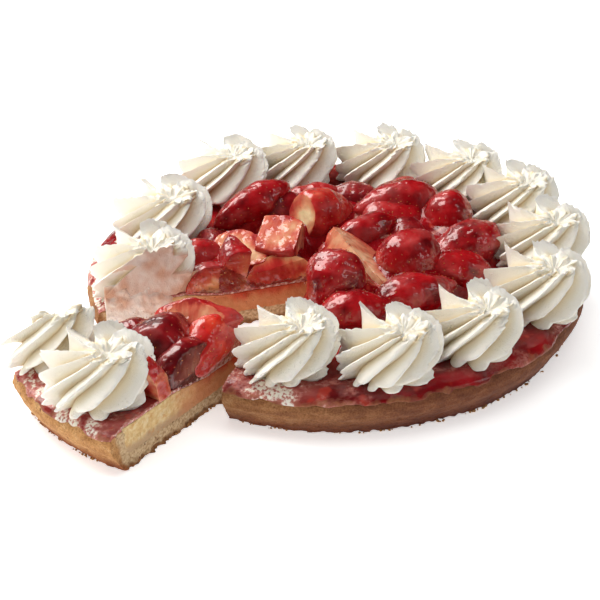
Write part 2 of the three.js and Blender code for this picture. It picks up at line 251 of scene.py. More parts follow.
def whippedCream():
    look, relief = creamLook, creamLook["relief"]
    made, add, noise, place, groove, stain = newMaterial("whipped_cream", look, "groove", "stain")
    # Painted shade: the deeper in a groove, the warmer and darker the cream is painted.
    toneAndGrooveShade = add("ValToRGB", {"Fac": groove}, stops=look["tintsAndGrooveShade"])
    mottle, share = look["mottle"]
    faint = add("Math", {0: noise["mottle"], 1: share}, {"operation": "MULTIPLY"})
    warm = add("Mix", {0: faint, 6: toneAndGrooveShade, 7: colour(mottle)}, blend, 2)
    # Juice and painted shade with a reddish bounce of light, where the stain field is set.
    stained = add("Mix", {0: stain, 6: warm, 7: colour(look["stain"])}, blend, 2)
    bubbles = add("TexVoronoi", {"Vector": place, "Scale": 1 / (look["bubble"] * mm)}, output="Distance")
    width = add("MapRange", {"Value": noise["patch"], **look["pitWidth"]})
    pitted = add("MapRange", {"Value": bubbles, "From Max": width})
    normal = add("Bump", {"Height": pitted, "Distance": relief["bubble"] * mm})
    normal = add("Bump", {"Height": noise["grain"], "Distance": relief["grain"] * mm, "Normal": normal})
    return finishMaterial(made, look, {"Base Color": stained, "Normal": normal})


# Shortcrust: baked flour and butter, dry and rough, browner outside than where it is cut, and darker towards
# its foot. On the front and right its wall is painted browner and darker, partly baked deeper and partly
# painted shade.
# Its grit of sugar and flour, some 0.3 mm wide, is drawn 0.8 mm wide so that it shows.
pastryLook = {
    "golden": [(0.3, "#B47E4C"), (0.5, "#CE9A60"), (0.7, "#DEB47E")],
    "brown": [(0.3, "#6E3D25"), (0.5, "#7E492C"), (0.7, "#8E5938")],
    "sandy": [(0.35, "#C9BDB2"), (0.62, "#FFFFFF")],
    "sandShare": 0.8,
    "foot": "#C79C84",
    "crumb": [(0.3, "#A07C58"), (0.5, "#C8A880"), (0.75, "#DEC8A4")],
    "toasted": [(0.3, "#6B4527"), (0.6, "#966338"), (0.8, "#B5814E")],
    "speck": ("#6A3E20", 0.7, 0.76),
    "noise": {"streak": (8, 6, 1.7), "sand": (0.8, 2), "crumb": (1.3, 3), "toasted": (1.6, 4),
              "speck": (1.8, 1), "grain": (1.1, 5), "ridge": (2.6, 3, 3)},
    "relief": {"grain": 0.5, "ridge": 0.3},
    "surface": {"Roughness": 0.82, "IOR": 1.4},
}


def shortcrust():
    look, relief = pastryLook, pastryLook["relief"]
    made, add, noise, _, bake, low, toast, wall = newMaterial(
        "shortcrust", look, "bake", "low", "toast", "wall")
    golden = add("ValToRGB", {"Fac": noise["streak"]}, stops=look["golden"])
    brown = add("ValToRGB", {"Fac": noise["streak"]}, stops=look["brown"])
    # On the front and right the brown is partly baked deeper and partly painted shade.
    baked = add("Mix", {0: bake, 6: golden, 7: brown}, blend, 2)
    sandy = add("ValToRGB", {"Fac": noise["sand"]}, stops=look["sandy"])
    grainy = add("Mix", {0: look["sandShare"], 6: baked, 7: sandy}, darken, 2)
    outside = add("Mix", {0: low, 6: grainy, 7: colour(look["foot"])}, darken, 2)
    crumb = add("ValToRGB", {"Fac": noise["crumb"]}, stops=look["crumb"])
    toasted = add("ValToRGB", {"Fac": noise["toasted"]}, stops=look["toasted"])
    cutFace = add("Mix", {0: toast, 6: crumb, 7: toasted}, blend, 2)
    whole = add("Mix", {0: wall, 6: cutFace, 7: outside}, blend, 2)
    speck, fewest, most = look["speck"]
    specks = add("MapRange", {"Value": noise["speck"], "From Min": fewest, "From Max": most})
    dark = add("Mix", {0: specks, 6: whole, 7: colour(speck)}, blend, 2)
    normal = add("Bump", {"Height": noise["grain"], "Distance": relief["grain"] * mm})
    normal = add("Bump", {"Height": noise["ridge"], "Distance": relief["ridge"] * mm, "Normal": normal})
    return finishMaterial(made, look, {"Base Color": dark, "Normal": normal})


# Baked filling: a fine, soft, pale crumb with small holes, stained where the fruit's juice has run down it.
fillingLook = {
    "crumb": [(0.3, "#CDA268"), (0.5, "#DFBF86"), (0.75, "#ECD8AC")],
    "low": "#BE9D78",
    "spot": ("#C98A45", {"From Min": 0.6, "From Max": 0.7, "To Max": 0.6}),
    "soaked": ("#CC8658", {"From Max": 0.6}),
    "juice": ("#BE4628", {"From Min": 0.6}),
    "noise": {"crumb": (2.2, 4), "spot": (3.4, 2), "grain": (0.9, 4)},
    "relief": 0.35,
    "surface": {"Roughness": 0.7, "IOR": 1.4, "Subsurface Weight": 0.15,
                "Subsurface Radius": (1.0, 0.6, 0.3), "Subsurface Scale": 2 * mm},
}


def bakedFilling():
    look = fillingLook
    made, add, noise, _, low, wet = newMaterial("baked_filling", look, "crumb", "juice")
    crumb = add("ValToRGB", {"Fac": noise["crumb"]}, stops=look["crumb"])
    tone = add("Mix", {0: low, 6: crumb, 7: colour(look["low"])}, blend, 2)
    for stain, amount in (("spot", noise["spot"]), ("soaked", wet), ("juice", wet)):
        code, span = look[stain]
        share = add("MapRange", {"Value": amount, **span})
        tone = add("Mix", {0: share, 6: tone, 7: colour(code)}, blend, 2)
    normal = add("Bump", {"Height": noise["grain"], "Distance": look["relief"] * mm})
    return finishMaterial(made, look, {"Base Color": tone, "Normal": normal})


# Fruit jelly: set pectin and juice, clear red and wet, darker where it is thick, dry along its hem and
# clouded where cream was dragged over it.
jellyLook = {
    "thin": [(0.3, "#641818"), (0.5, "#7E2826"), (0.72, "#9C423C")],
    "thick": [(0.3, "#56050B"), (0.5, "#860912"), (0.72, "#A8121B")],
    "dry": [(0.35, "#7A3B2C"), (0.6, "#98603F")],
    "shred": ("#B8382A", {"From Min": 0.6, "From Max": 0.68, "To Max": 0.7}),
    "lace": {"From Min": 0.35, "From Max": 0.65, "To Min": 0.4, "To Max": 1.6},
    "blush": ("#C07468", {"From Max": 0.5}),
    "cream": ("#F2E6D8", {"From Min": 0.45, "From Max": 0.9}),
    "dullness": {"To Min": 0.2, "To Max": 0.65},
    "noise": {"cloud": (14, 3), "shred": (9, 2), "dry": (2.5, 3), "lace": (1.5, 3), "swell": (5, 2),
              "grain": (1.2, 3)},
    "relief": {"swell": 0.5, "grain": 0.15},
    "surface": {"IOR": 1.38, "Coat Weight": 0.3, "Coat Roughness": 0.08, "Subsurface Weight": 0.2,
                "Subsurface Radius": (1.0, 0.25, 0.15), "Subsurface Scale": 2 * mm},
}


def fruitJelly():
    look, relief = jellyLook, jellyLook["relief"]
    made, add, noise, _, deep, ledge, smeared = newMaterial("fruit_jelly", look, "deep", "ledge", "film")
    thin = add("ValToRGB", {"Fac": noise["cloud"]}, stops=look["thin"])
    thick = add("ValToRGB", {"Fac": noise["cloud"]}, stops=look["thick"])
    poured = add("Mix", {0: deep, 6: thin, 7: thick}, blend, 2)
    shred, span = look["shred"]
    shreds = add("MapRange", {"Value": noise["shred"], **span})
    fruity = add("Mix", {0: shreds, 6: poured, 7: colour(shred)}, blend, 2)
    dry = add("ValToRGB", {"Fac": noise["dry"]}, stops=look["dry"])
    tone = add("Mix", {0: ledge, 6: fruity, 7: dry}, blend, 2)
    lace = add("MapRange", {"Value": noise["lace"], **look["lace"]})
    film = add("Math", {0: smeared, 1: lace}, {"operation": "MULTIPLY"})
    for stain in ("blush", "cream"):
        code, span = look[stain]
        share = add("MapRange", {"Value": film, **span})
        tone = add("Mix", {0: share, 6: tone, 7: colour(code)}, blend, 2)
    matt = add("Math", {0: film, 1: ledge}, {"operation": "MAXIMUM"})
    dull = add("MapRange", {"Value": matt, **look["dullness"]})
    normal = add("Bump", {"Height": noise["swell"], "Distance": relief["swell"] * mm})
    normal = add("Bump", {"Height": noise["grain"], "Distance": relief["grain"] * mm, "Normal": normal})
    return finishMaterial(made, look, {"Base Color": tone, "Roughness": dull, "Normal": normal})


# Glazed strawberry: skin and flesh under a film of wet jelly, with pinkish pale patches that are partly a
# cloudy film and partly a painted sheen. The flesh is paler towards the core, with fine fibres.
fruitLook = {
    # Pinkish pale patches on the skin: a cloudy film of jelly, and a painted sheen.
    "milk": ("#BE5E5A", {"From Min": 0.5, "From Max": 0.68, "To Max": 0.36}),
    "fibre": {"From Min": 0.3, "From Max": 0.7, "To Min": -0.16, "To Max": 0.16},
    "patch": {"From Min": 0.3, "From Max": 0.7, "To Min": -0.4, "To Max": 0.3},
    "fibreDetail": 3,
    "noise": {"milk": (15, 3), "skin": (9, 3), "patch": (11, 1), "swell": (6, 1.5), "ripple": (1.8, 1),
              "grain": (1.2, 3)},
    "relief": {"swell": 1.7, "ripple": 0.06, "grain": 0.15},
    "surface": {"Roughness": 0.36, "IOR": 1.38, "Coat Weight": 0.9, "Coat Roughness": 0.03,
                "Subsurface Weight": 0.35, "Subsurface Radius": (1.0, 0.3, 0.2),
                "Subsurface Scale": 2.5 * mm},
}
# Each shade's colours: those of the skin, and those of the flesh from the core to the skin.
fruitShades = {
    "red": ([(0.3, "#6C020A"), (0.5, "#A00711"), (0.72, "#B81C20")],
            [(0.0, "#D48E5E"), (0.35, "#C65C42"), (0.7, "#B22C26"), (1.0, "#931216")]),
    # The dark shade: a darker copy of the red, for fruit lying low and behind other fruit, as painted shade.
    "dark": ([(0.3, "#4E030A"), (0.5, "#7A0710"), (0.72, "#98181C")],
             [(0.0, "#A06858"), (0.4, "#84423A"), (0.75, "#6C2422"), (1.0, "#580A0E")]),
    "pale": ([(0.3, "#A61014"), (0.5, "#C22C26"), (0.72, "#D2604A")],
             [(0.0, "#F0DCAC"), (0.35, "#E4AE82"), (0.75, "#D07458"), (1.0, "#B03430")]),
    "salmon": ([(0.3, "#94070E"), (0.5, "#B61E1C"), (0.72, "#C63E32")],
               [(0.0, "#E8B890"), (0.35, "#DA8C6A"), (0.75, "#CC5E48"), (1.0, "#A42624")]),
    "bright": ([(0.3, "#AE0C14"), (0.5, "#C81E18"), (0.72, "#D64028")],
               [(0.0, "#DE7C44"), (0.35, "#D95A36"), (0.75, "#CC3022"), (1.0, "#B81A1A")]),
    "blushed": ([(0.3, "#9A0A10"), (0.5, "#B81A1A"), (0.72, "#CA4234")],
                [(0.0, "#AC1C1E"), (0.4, "#BC3428"), (0.7, "#CE6648"), (1.0, "#DEA072")]),
}


def glazedStrawberry(shade):
    look, relief = fruitLook, fruitLook["relief"]
    made, add, noise, _, bare, rind = newMaterial("glazed_strawberry_" + shade, look, "flesh", "rind")
    skinStops, fleshStops = fruitShades[shade]
    red = add("ValToRGB", {"Fac": noise["skin"]}, stops=skinStops)
    # Partly a cloudy film of jelly, partly a painted sheen.
    milk, span = look["milk"]
    milkyAndSheen = add("MapRange", {"Value": noise["milk"], **span})
    skin = add("Mix", {0: milkyAndSheen, 6: red, 7: colour(milk)}, blend, 2)
    along = add("Attribute", {}, {"attribute_name": "fibre"}, "Vector")
    fibre = add("TexNoise", {"Vector": along, "Scale": 1, "Detail": look["fibreDetail"]})
    ripple = add("MapRange", {"Value": fibre, **look["fibre"]})
    patch = add("MapRange", {"Value": noise["patch"], **look["patch"]})
    uneven = add("Math", {0: ripple, 1: patch}, {"operation": "ADD"})
    depth = add("Math", {0: rind, 1: uneven}, {"operation": "ADD", "use_clamp": True})
    flesh = add("ValToRGB", {"Fac": depth}, stops=fleshStops)
    whole = add("Mix", {0: bare, 6: skin, 7: flesh}, blend, 2)
    wet = add("Bump", {"Height": noise["swell"], "Distance": relief["swell"] * mm})
    wet = add("Bump", {"Height": noise["ripple"], "Distance": relief["ripple"] * mm, "Normal": wet})
    normal = add("Bump", {"Height": noise["grain"], "Distance": relief["grain"] * mm})
    return finishMaterial(made, look, {"Base Color": whole, "Coat Normal": wet, "Normal": normal})


# Strawberry seeds: dry yellow to brown achenes under the glaze.
seedLook = {
    "tones": [(0.35, "#8A2A14"), (0.55, "#B8602E"), (0.75, "#D8924E")],
    "noise": {"tone": (4, 2)},
    "surface": {"Roughness": 0.3, "Coat Weight": 1.0, "Coat Roughness": 0.08},
}


def strawberrySeed():
    made, add, noise, _ = newMaterial("strawberry_seed", seedLook)
    tone = add("ValToRGB", {"Fac": noise["tone"]}, stops=seedLook["tones"])
    return finishMaterial(made, seedLook, {"Base Color": tone})


materials = {
    "cream": whippedCream(),
    "pastry": shortcrust(),
    "custard": bakedFilling(),
    "jelly": fruitJelly(),
    "seed": strawberrySeed(),
    **{shade: glazedStrawberry(shade) for shade in fruitShades},
}


def finishPiece(piece, material, slot, *nodes):
    piece.data.materials.clear()
    piece.data.materials.append(materials[material])
    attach(piece, "root")
    if nodes:
        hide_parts(*nodes)
    return piece


# The knives: tall sectors whose two sides carry the crumb that they leave on what they cut. Each layer's
# knife strays by so much all over and by so much more at the foot, and its number moves the noise on.
knifeShape = {"reach": 190, "roughReach": 142, "step": 0.8, "coarser": 1.5, "bottom": -4, "fineTop": 25.5,
              "top": 64, "lumps": ((5, 0.5), (1.9, 0.6)), "crumble": 2.6, "foot": (5.5, 0.5), "fade": 4,
              "apart": 40, "within": 0.8}
knifeRough = {"crust": (0.7, 1.5, 0), "filling": (0.6, 0, 0), "glaze": (0.6, 0, 0), "cream": (0.5, 0, 3)}
notchSides = (tart["notchApex"], (tart["notchFrom"], tart["notchTo"]))
sliceSides = (tart["slicePoint"], (tart["sliceFrom"], tart["sliceTo"]))
uncut = ((0, 0), ())


def makeKnife(name, apex, angles, rough, foot, seed):
    step = knifeShape["step"]
    fine = np.arange(knifeShape["bottom"], knifeShape["fineTop"], step)
    coarse = np.arange(knifeShape["fineTop"], knifeShape["top"], knifeShape["coarser"] * step)
    heights = np.concatenate([fine, coarse])
    reach = np.arange(0, knifeShape["roughReach"], step)[1:]
    (wide, wideShare), (small, smallShare) = knifeShape["lumps"]
    sheets = []
    for side, angle in enumerate(angles):
        s, z = np.meshgrid(reach, heights, indexing="ij")
        flat = np.stack([s.ravel(), z.ravel(), np.full(s.size, knifeShape["apart"] * side)], axis=1)
        stray = rough * (lumps(flat, wide, seed, 2) * wideShare + lumps(flat, small, seed + 7) * smallShare)
        crumbled = foot * lumps(flat, knifeShape["crumble"], seed + 9, 2)
        stray += crumbled * ramp(flat[:, 1], *knifeShape["foot"])
        stray = stray.reshape(s.shape) * np.clip(s / knifeShape["fade"], 0, 1)
        along = direction(angle)
        plan = np.array(apex)[None, None] + along * s[..., None] + leftOf(along) * stray[..., None]
        sheets.append(np.concatenate([plan, z[..., None]], axis=2))
    far = [np.array(apex) + direction(angle) * knifeShape["reach"] for angle in angles]
    rings = []
    for i, z in enumerate(heights):
        ring = [[*apex, z]] + sheets[0][:, i].tolist()
        ring += [[*far[0], z], [*far[1], z]] + sheets[1][::-1, i].tolist()
        rings.append(ring)
    rings = np.array(rings)
    rows, columns = rings.shape[:2]
    faces = gridFaces(rows, columns, closed=True).tolist()
    faces.append(list(range(columns))[::-1])
    faces.append([(rows - 1) * columns + i for i in range(columns)])
    knife = addMesh(name, rings.reshape(-1, 3), faces)
    knife.hide_render = True
    return knife


notchKnives, sliceKnives = {}, {}
for layer, (rough, foot, number) in knifeRough.items():
    notchKnives[layer] = makeKnife("notch_" + layer, *notchSides, rough, foot, 10 + number)
    sliceKnives[layer] = makeKnife("share_" + layer, *sliceSides, rough, foot, 30 + number)


# 1 for the points that lie on one of the cuts.
def onCut(points, sides):
    apex, angles = sides
    found = np.zeros(len(points))
    for angle in angles:
        away = (points[:, :2] - apex) @ leftOf(direction(angle))
        found = np.maximum(found, np.abs(away) < knifeShape["within"])
    return found


print("knives ready")


# The layers, each turned from a profile of (radius, height) points. Their waves round the rim are as
# (height, count, start).
layerShape = {"segments": 760, "fine": 0.8, "coarse": 30,
              "waves": ((0.45, 3, 0.7), (0.35, 8, 2.1), (0.2, 17, 0))}
inside = tart["rimRadius"] - tart["wallThickness"]
fillingTop = [
    (inside + 0.3, tart["bankHeight"]), (tart["basinRadius"], tart["bankHeight"]),
    (tart["basinRadius"] - tart["basinSlope"], tart["centreHeight"] + 0.8), (0, tart["centreHeight"]),
]


# The filling's top at each distance from the middle, or so much above it.
def fillingHeight(reach, *above):
    radius, height = zip(*fillingTop[::-1])
    return np.interp(reach, radius, sum(above, np.array(height)))


# The top of the crust's rim, which the jelly laps over.
def crustTop(reach):
    rim, top = tart["rimRadius"], tart["rimHeight"]
    return np.interp(reach, [rim - 4.5, rim - 2, rim - 0.6], [top, top - 0.8, tart["shoulderHeight"] + 2.5])


def wallWave(angle):
    return sum(share * np.sin(count * angle + start) for share, count, start in layerShape["waves"])


# Points along a profile, at about the pace that is given for each of its stretches.
def spread(profile, paces):
    points = []
    for (r0, z0), (r1, z1), pace in zip(profile[:-1], profile[1:], paces):
        count = max(1, round(math.hypot(r1 - r0, z1 - z0) / pace))
        for i in range(count):
            points.append((r0 + (r1 - r0) * i / count, z0 + (z1 - z0) * i / count))
    points.append(profile[-1])
    return np.array(points)


def turned(profile, shape):
    angles = np.linspace(0, 2 * np.pi, layerShape["segments"], endpoint=False)
    radius, angle = np.meshgrid(profile[1:-1, 0], angles, indexing="ij")
    height = np.repeat(profile[1:-1, 1:2], len(angles), axis=1)
    radius = radius * (1 + wallWave(angle) / tart["rimRadius"])
    radius, height = shape(radius, height, angle)
    rings = np.stack([radius * np.cos(angle), radius * np.sin(angle), height], axis=2)
    return ringBody(rings, [0, 0, profile[0, 1]], [0, 0, profile[-1, 1]])


# How the wall strays: the (depth, size) of its bumps, of its bands, which are flat, of its pits, of its
# ragged foot and of the gaps under it, and how much of that is kept.
crustWear = {"bumps": (0.35, 4), "bands": (0.3, 7), "flatness": 6, "pits": (1.2, 1.8), "ragged": (1.1, 2.2),
             "raggedTo": 3.5, "lift": (0.9, 2.4), "liftTo": 0.45, "kept": 0.8, "shrink": 0.35}


def crustBody():
    rim, foot, fine, coarse = tart["rimRadius"], tart["footRadius"], layerShape["fine"], layerShape["coarse"]
    shoulder, top, floor = tart["shoulderHeight"], tart["rimHeight"], tart["floorThickness"]
    outline = [
        (0, 0), (foot - 6, 0), (foot - 1, 0.4), (foot, 3), (rim - 1, shoulder - 4), (rim, shoulder),
        (rim - 0.6, shoulder + 2.5), (rim - 2, top - 0.8), (rim - 4.5, top), (inside, top),
        (inside - 2, floor + 1.5), (inside - 4, floor), (0, floor),
    ]
    paces = [coarse, 1, 1, fine, fine, fine, fine, fine, 1.5, 4, 4, coarse]

    def weather(radius, height, angle):
        points = np.stack([radius * np.cos(angle), radius * np.sin(angle), height], axis=-1).reshape(-1, 3)
        banded, flat = points * [1, 1, crustWear["flatness"]], points * [1, 1, 0]
        outside = ramp(radius, foot - 8, foot - 1)
        (bump, bumpSize), (band, bandSize), (pit, pitSize), (rag, ragSize), (gap, gapSize) = (
            crustWear[key] for key in ("bumps", "bands", "pits", "ragged", "lift"))
        bumps = bump * lumps(points, bumpSize, 3, 2) + band * lumps(banded, bandSize, 5, 2)
        bumps = (bumps - pit * pits(points, pitSize, 8)).reshape(radius.shape)
        ragged = (np.abs(lumps(points, ragSize, 21, 2)) * rag).reshape(radius.shape)
        ragged = ragged * ramp(height, crustWear["raggedTo"], 0)
        lift = (np.clip(lumps(flat, gapSize, 25, 2), 0, None) * gap).reshape(radius.shape)
        height = height + lift * outside * (height < crustWear["liftTo"])
        return radius + (bumps * crustWear["kept"] - crustWear["shrink"] - ragged) * outside, height

    return turned(spread(outline, paces), weather)


def fillingBody():
    floor = tart["floorThickness"] - 0.5
    outline = [(0, floor), (inside - 3.8, floor), (inside - 1.8, floor + 1.8)] + fillingTop
    paces = [layerShape["coarse"], 4, 4, 6, 4, 15]
    return turned(spread(outline, paces), lambda radius, height, angle: (radius, height))


# The jelly's hem: where it starts to thin over the rim, how far short of the edge it stops (least, mean,
# sway, most), how thick it is at the start and at the hem, and its swells as (height, size).
glazeShape = {"gap": 0.3, "hemStart": 117, "hem": (0.6, 1.2, 1.5, 6), "hemSize": 11,
              "hemThickness": (2.0, 0.3), "hemPace": 0.55, "thinning": (1.5, 0.7), "underHem": 0.1,
              "swell": (0.35, 9), "above": 0.6}


def glazeBody():
    gap, start, rim = glazeShape["gap"], glazeShape["hemStart"], tart["rimRadius"]
    inner, outer = glazeShape["hemThickness"]
    under = [(r, z + gap) for r, z in fillingTop[::-1]]
    over = [(r, z + gap + tart["glazeThickness"]) for r, z in fillingTop]
    # On the rim the heights below only tell the under side, 0, from the upper, high.
    fine, high, step = glazeShape["hemPace"], 40, 0.05
    hem = [(start, crustTop(start) + glazeShape["underHem"]), (start + step, 0), (rim, 0), (rim, high),
           (start + step, high), (start, crustTop(start) + inner)]
    outline = under + hem + over
    paces = [20, 6, 6, 1, high, fine, 2 * high, fine, high, 1, 1.2, 4, 15]

    def pour(radius, height, angle):
        swell = 1 + wallWave(angle) / rim
        plain = radius / swell
        points = np.stack([plain * np.cos(angle), plain * np.sin(angle), height * 0], axis=-1).reshape(-1, 3)
        edge = points / plain.reshape(-1, 1) * rim
        least, mean, sway, most = glazeShape["hem"]
        short = mean + sway * lumps(edge, glazeShape["hemSize"], 41, 3)
        hem = (rim - np.clip(short, least, most)).reshape(radius.shape)
        share = np.clip((plain - start) / (rim - start), 0, 1)
        onRim = plain > start + step / 5
        above = height > fillingHeight(plain) + gap + glazeShape["above"]
        upper = np.where(onRim, height > high / 2, above)
        reach = np.where(onRim, start + share * (hem - start), plain)
        power, calm = glazeShape["thinning"]
        thick = np.where(upper, outer + (inner - outer) * (1 - share) ** power, glazeShape["underHem"])
        swellHeight, swellSize = glazeShape["swell"]
        rise = (lumps(points, swellSize, 44, 3) * swellHeight).reshape(radius.shape)
        rise = rise * upper * (1 - calm * share)
        return reach * swell, np.where(onRim, crustTop(reach) + thick, height) + rise

    return turned(spread(outline, paces), pour)


# The layer of the tart and that of the slice, each cut by its knife, with their points, how far from the
# middle and how high these are, and at which turn.
def layerPieces(name, body):
    vertices, faces = body()
    for prefix, middle, knives, operation in (
        ("", (0, 0), notchKnives, "DIFFERENCE"),
        ("slice_", tart["sliceMiddle"], sliceKnives, "INTERSECT"),
    ):
        piece = addMesh(prefix + name + "_baked", vertices + np.array([*middle, 0]), faces)
        cutWith(piece, knives[name], operation)
        points = meshPoints(piece.data)
        x, y = (points[:, :2] - middle).T
        yield prefix, piece, points, np.hypot(x, y), points[:, 2], np.degrees(np.arctan2(y, x)) % 360


# Where each look of the crust starts and where it is full, in mm, and the turns between which the wall is
# painted browner and darker, partly baked deeper and partly painted shade away from the light.
crustLooks = {
    "foot": (1.5, 0.3), "footRise": (5, 3, 2.5),  # how far inside the foot's edge, and where that moves out
    "wall": (113, 115.5, 0.36), "lip": (19.9, 20.5),  # distances, which grow with height, and heights
    "under": (9, 6, 1.0, 0.6),  # how far inside the foot's edge, and how high
    "low": (11, 2, 9, 1.5),  # heights, the noise's size and how far the noise moves them
    "toast": (3.4, 1.2, 3, 0.8),
    # Between these turns, on the front and right, the wall is painted browner and darker: partly baked
    # deeper, partly painted shade away from the light; the slice's wall, in the light, stays golden.
    "brown": (245, 290), "pale": (410, 350),
    "bake": (0.62, 0.38), "sliceBakeAndShade": 0.1,  # how brown at the least, how much more, and the slice
}
for prefix, piece, points, reach, height, turn in layerPieces("crust", crustBody):
    foot = tart["footRadius"]
    (outer, full), (most, least, rise) = crustLooks["foot"], crustLooks["footRise"]
    outside = ramp(reach + rise * ramp(height, most, least), foot - outer, foot - full)
    first, last, slope = crustLooks["wall"]
    wall = np.maximum(ramp(reach - height * slope, first, last), ramp(height, *crustLooks["lip"]))
    outer, full, most, least = crustLooks["under"]
    under = ramp(reach, foot - outer, foot - full) * ramp(height, most, least)
    setField(piece.data, "wall", np.maximum(outside * wall, under))
    top, bottom, size, stray = crustLooks["low"]
    setField(piece.data, "low", ramp(height - lumps(points, size, 65, 2) * stray, top, bottom))
    top, bottom, size, stray = crustLooks["toast"]
    setField(piece.data, "toast", ramp(height - lumps(points, size, 61) * stray, top, bottom))
    onward = np.where(turn < 180, turn + 360, turn)
    # Painted shade and deeper baking on the front and right, away from the light.
    brownestAndShaded = ramp(onward, *crustLooks["brown"]) * ramp(onward, *crustLooks["pale"])
    least, more = crustLooks["bake"]
    baked = np.full(len(turn), crustLooks["sliceBakeAndShade"]) if prefix else least + more * brownestAndShaded
    setField(piece.data, "bake", baked)
    finishPiece(piece, "pastry", "pastry", prefix + "crust")

# The juice that soaked into the filling, from the fruit at its middle and from the jelly above, and where it
# is darker towards its foot, each as (from, to, size of the noise, how far the noise moves it).
fillingLooks = {"soaked": (92, 62, 8, 5), "run": (13, 19, 5, 2.5), "runFrom": (70, 50),
                "shares": (0.6, 0.4), "crumb": (13.5, 9.5, 4, 1.2)}
for prefix, piece, points, reach, height, turn in layerPieces("filling", fillingBody):
    low, high, size, stray = fillingLooks["run"]
    run = ramp(height + lumps(points * [1, 1, 0], size, 66, 2) * stray, low, high)
    run = run * ramp(reach, *fillingLooks["runFrom"])
    outer, inner, size, stray = fillingLooks["soaked"]
    soaked = ramp(reach - lumps(points, size, 62, 2) * stray, outer, inner)
    soakedShare, runShare = fillingLooks["shares"]
    setField(piece.data, "juice", soakedShare * soaked + runShare * run)
    high, low, size, stray = fillingLooks["crumb"]
    setField(piece.data, "crumb", ramp(height - lumps(points, size, 63, 2) * stray, high, low))
    finishPiece(piece, "custard", "custard", prefix + "filling")

# Where cream was dragged over the rim: from one turn to another, and how thickly.
creamSmears = {
    "": [(172, 200, 1.0), (246, 262, 0.85), (271, 276, 0.5), (300, 304, 0.4), (326, 340, 0.45), (20, 30, 0.6),
         (95, 112, 0.7), (150, 158, 0.6)],
    "slice_": [(194, 240, 0.8)],
}
# The jelly's looks: the streaks' seam and pace round the rim, where the smears and the thin cloud reach, the
# stretch of rim that the jelly ran over, the dry ledge at its hem and where it lies deep.
jellyLooks = {
    "seam": 45, "arc": 2.1, "slant": ((0.8, -0.9), (0.45, 1.3)), "streaks": ((6, 0.6), (3.1, 0.5)),
    "smearEnds": 3, "smear": (0.25, 1.3), "smearReach": (105, 115, 3),
    "cloud": (12, 2.2, 0.3), "cloudReach": (98, 112), "cloudShare": 0.4,
    "brim": (272, 277), "brimEnd": (318, 306), "brimReach": (112, 115), "brimShare": 0.8,
    "cutFilm": 0.45, "ledge": (122, 124.5, 4, 1.8),
    "pooled": (-0.35, 0.25, 22), "pooledReach": (111, 115, 7, 3), "bed": (96, 86),
}
for prefix, piece, points, reach, height, turn in layerPieces("glaze", glazeBody):
    looks = jellyLooks
    arc = np.where(turn > looks["seam"], turn, turn + 360) * looks["arc"]
    slanted = [onward * arc + outward * reach for onward, outward in looks["slant"]]
    slanted = np.stack([*slanted, 0 * reach], axis=1)
    (wide, wideShare), (small, smallShare) = looks["streaks"]
    streaks = wideShare * lumps(slanted, wide, 60, 5) + smallShare * lumps(points, small, 59, 3)
    smear, ends = np.zeros(len(points)), looks["smearEnds"]
    for first, last, share in creamSmears[prefix]:
        begun = share * ramp(turn, first - ends, first + ends)
        smear = np.maximum(smear, begun * ramp(turn, last + ends, last - ends))
    near, far, stray = looks["smearReach"]
    smear *= ramp(streaks + smear, *looks["smear"]) * ramp(reach + stray * streaks, near, far)
    wide, small, share = looks["cloud"]
    cloudy = ramp(lumps(slanted, wide, 64, 5) + share * lumps(points, small, 63, 2), 0, 1)
    cloudy = cloudy * ramp(reach, *looks["cloudReach"]) * looks["cloudShare"]
    brim = ramp(turn, *looks["brim"]) * ramp(turn, *looks["brimEnd"])
    cloudy *= 1 - looks["brimShare"] * brim * ramp(reach, *looks["brimReach"])
    bare = onCut(points, sliceSides if prefix else notchSides)
    setField(piece.data, "film", np.maximum(np.maximum(smear, cloudy), bare * looks["cutFilm"]))
    near, far, size, stray = looks["ledge"]
    ledge = ramp(reach + lumps(points, size, 67, 3) * stray, near, far)
    setField(piece.data, "ledge", ledge)
    low, high, size = looks["pooled"]
    pooled = np.maximum(ramp(lumps(points, size, 69, 2), low, high), brim)
    near, far, size, stray = looks["pooledReach"]
    pooled *= ramp(reach + lumps(points, size, 68, 2) * stray, near, far)
    deep = np.maximum(pooled * (1 - ledge), ramp(reach, *looks["bed"]))
    setField(piece.data, "deep", deep * (1 - bare))
    finishPiece(piece, "jelly", "jelly", prefix + "glaze")
print("layers baked")


# Crumbs that fell from the crust: how many lie round the foot and along each cut, their sizes, how far they
# stray, and each one's levels as (height, width).
crumbs = {"round": 100, "cut": 36, "size": (0.6, 1.9), "sides": 6, "spread": 0.5, "seed": 5, "under": 1.6,
          "turns": (-113, 30), "cutReach": (12, 84), "levels": ((0.25, 0.85), (0.6, 1.0), (0.9, 0.6)),
          "height": 0.8, "top": 0.85, "uneven": (0.65, 1.1, 0.06)}


def crumbBody(place, size, draw):
    sides = crumbs["sides"]
    angle = 2 * np.pi * np.arange(sides) / sides
    least, most, stray = crumbs["uneven"]
    rings = []
    for level, swell in crumbs["levels"]:
        reach = size * swell * draw.uniform(least, most, sides) * 0.5
        height = np.full(sides, size * level * crumbs["height"]) + draw.uniform(-stray, stray, sides) * size
        rings.append(np.stack([reach * np.cos(angle), reach * np.sin(angle), height], axis=1))
    vertices, faces = ringBody(np.array(rings), [0, 0, 0], [0, 0, size * crumbs["top"]])
    return vertices + place, faces


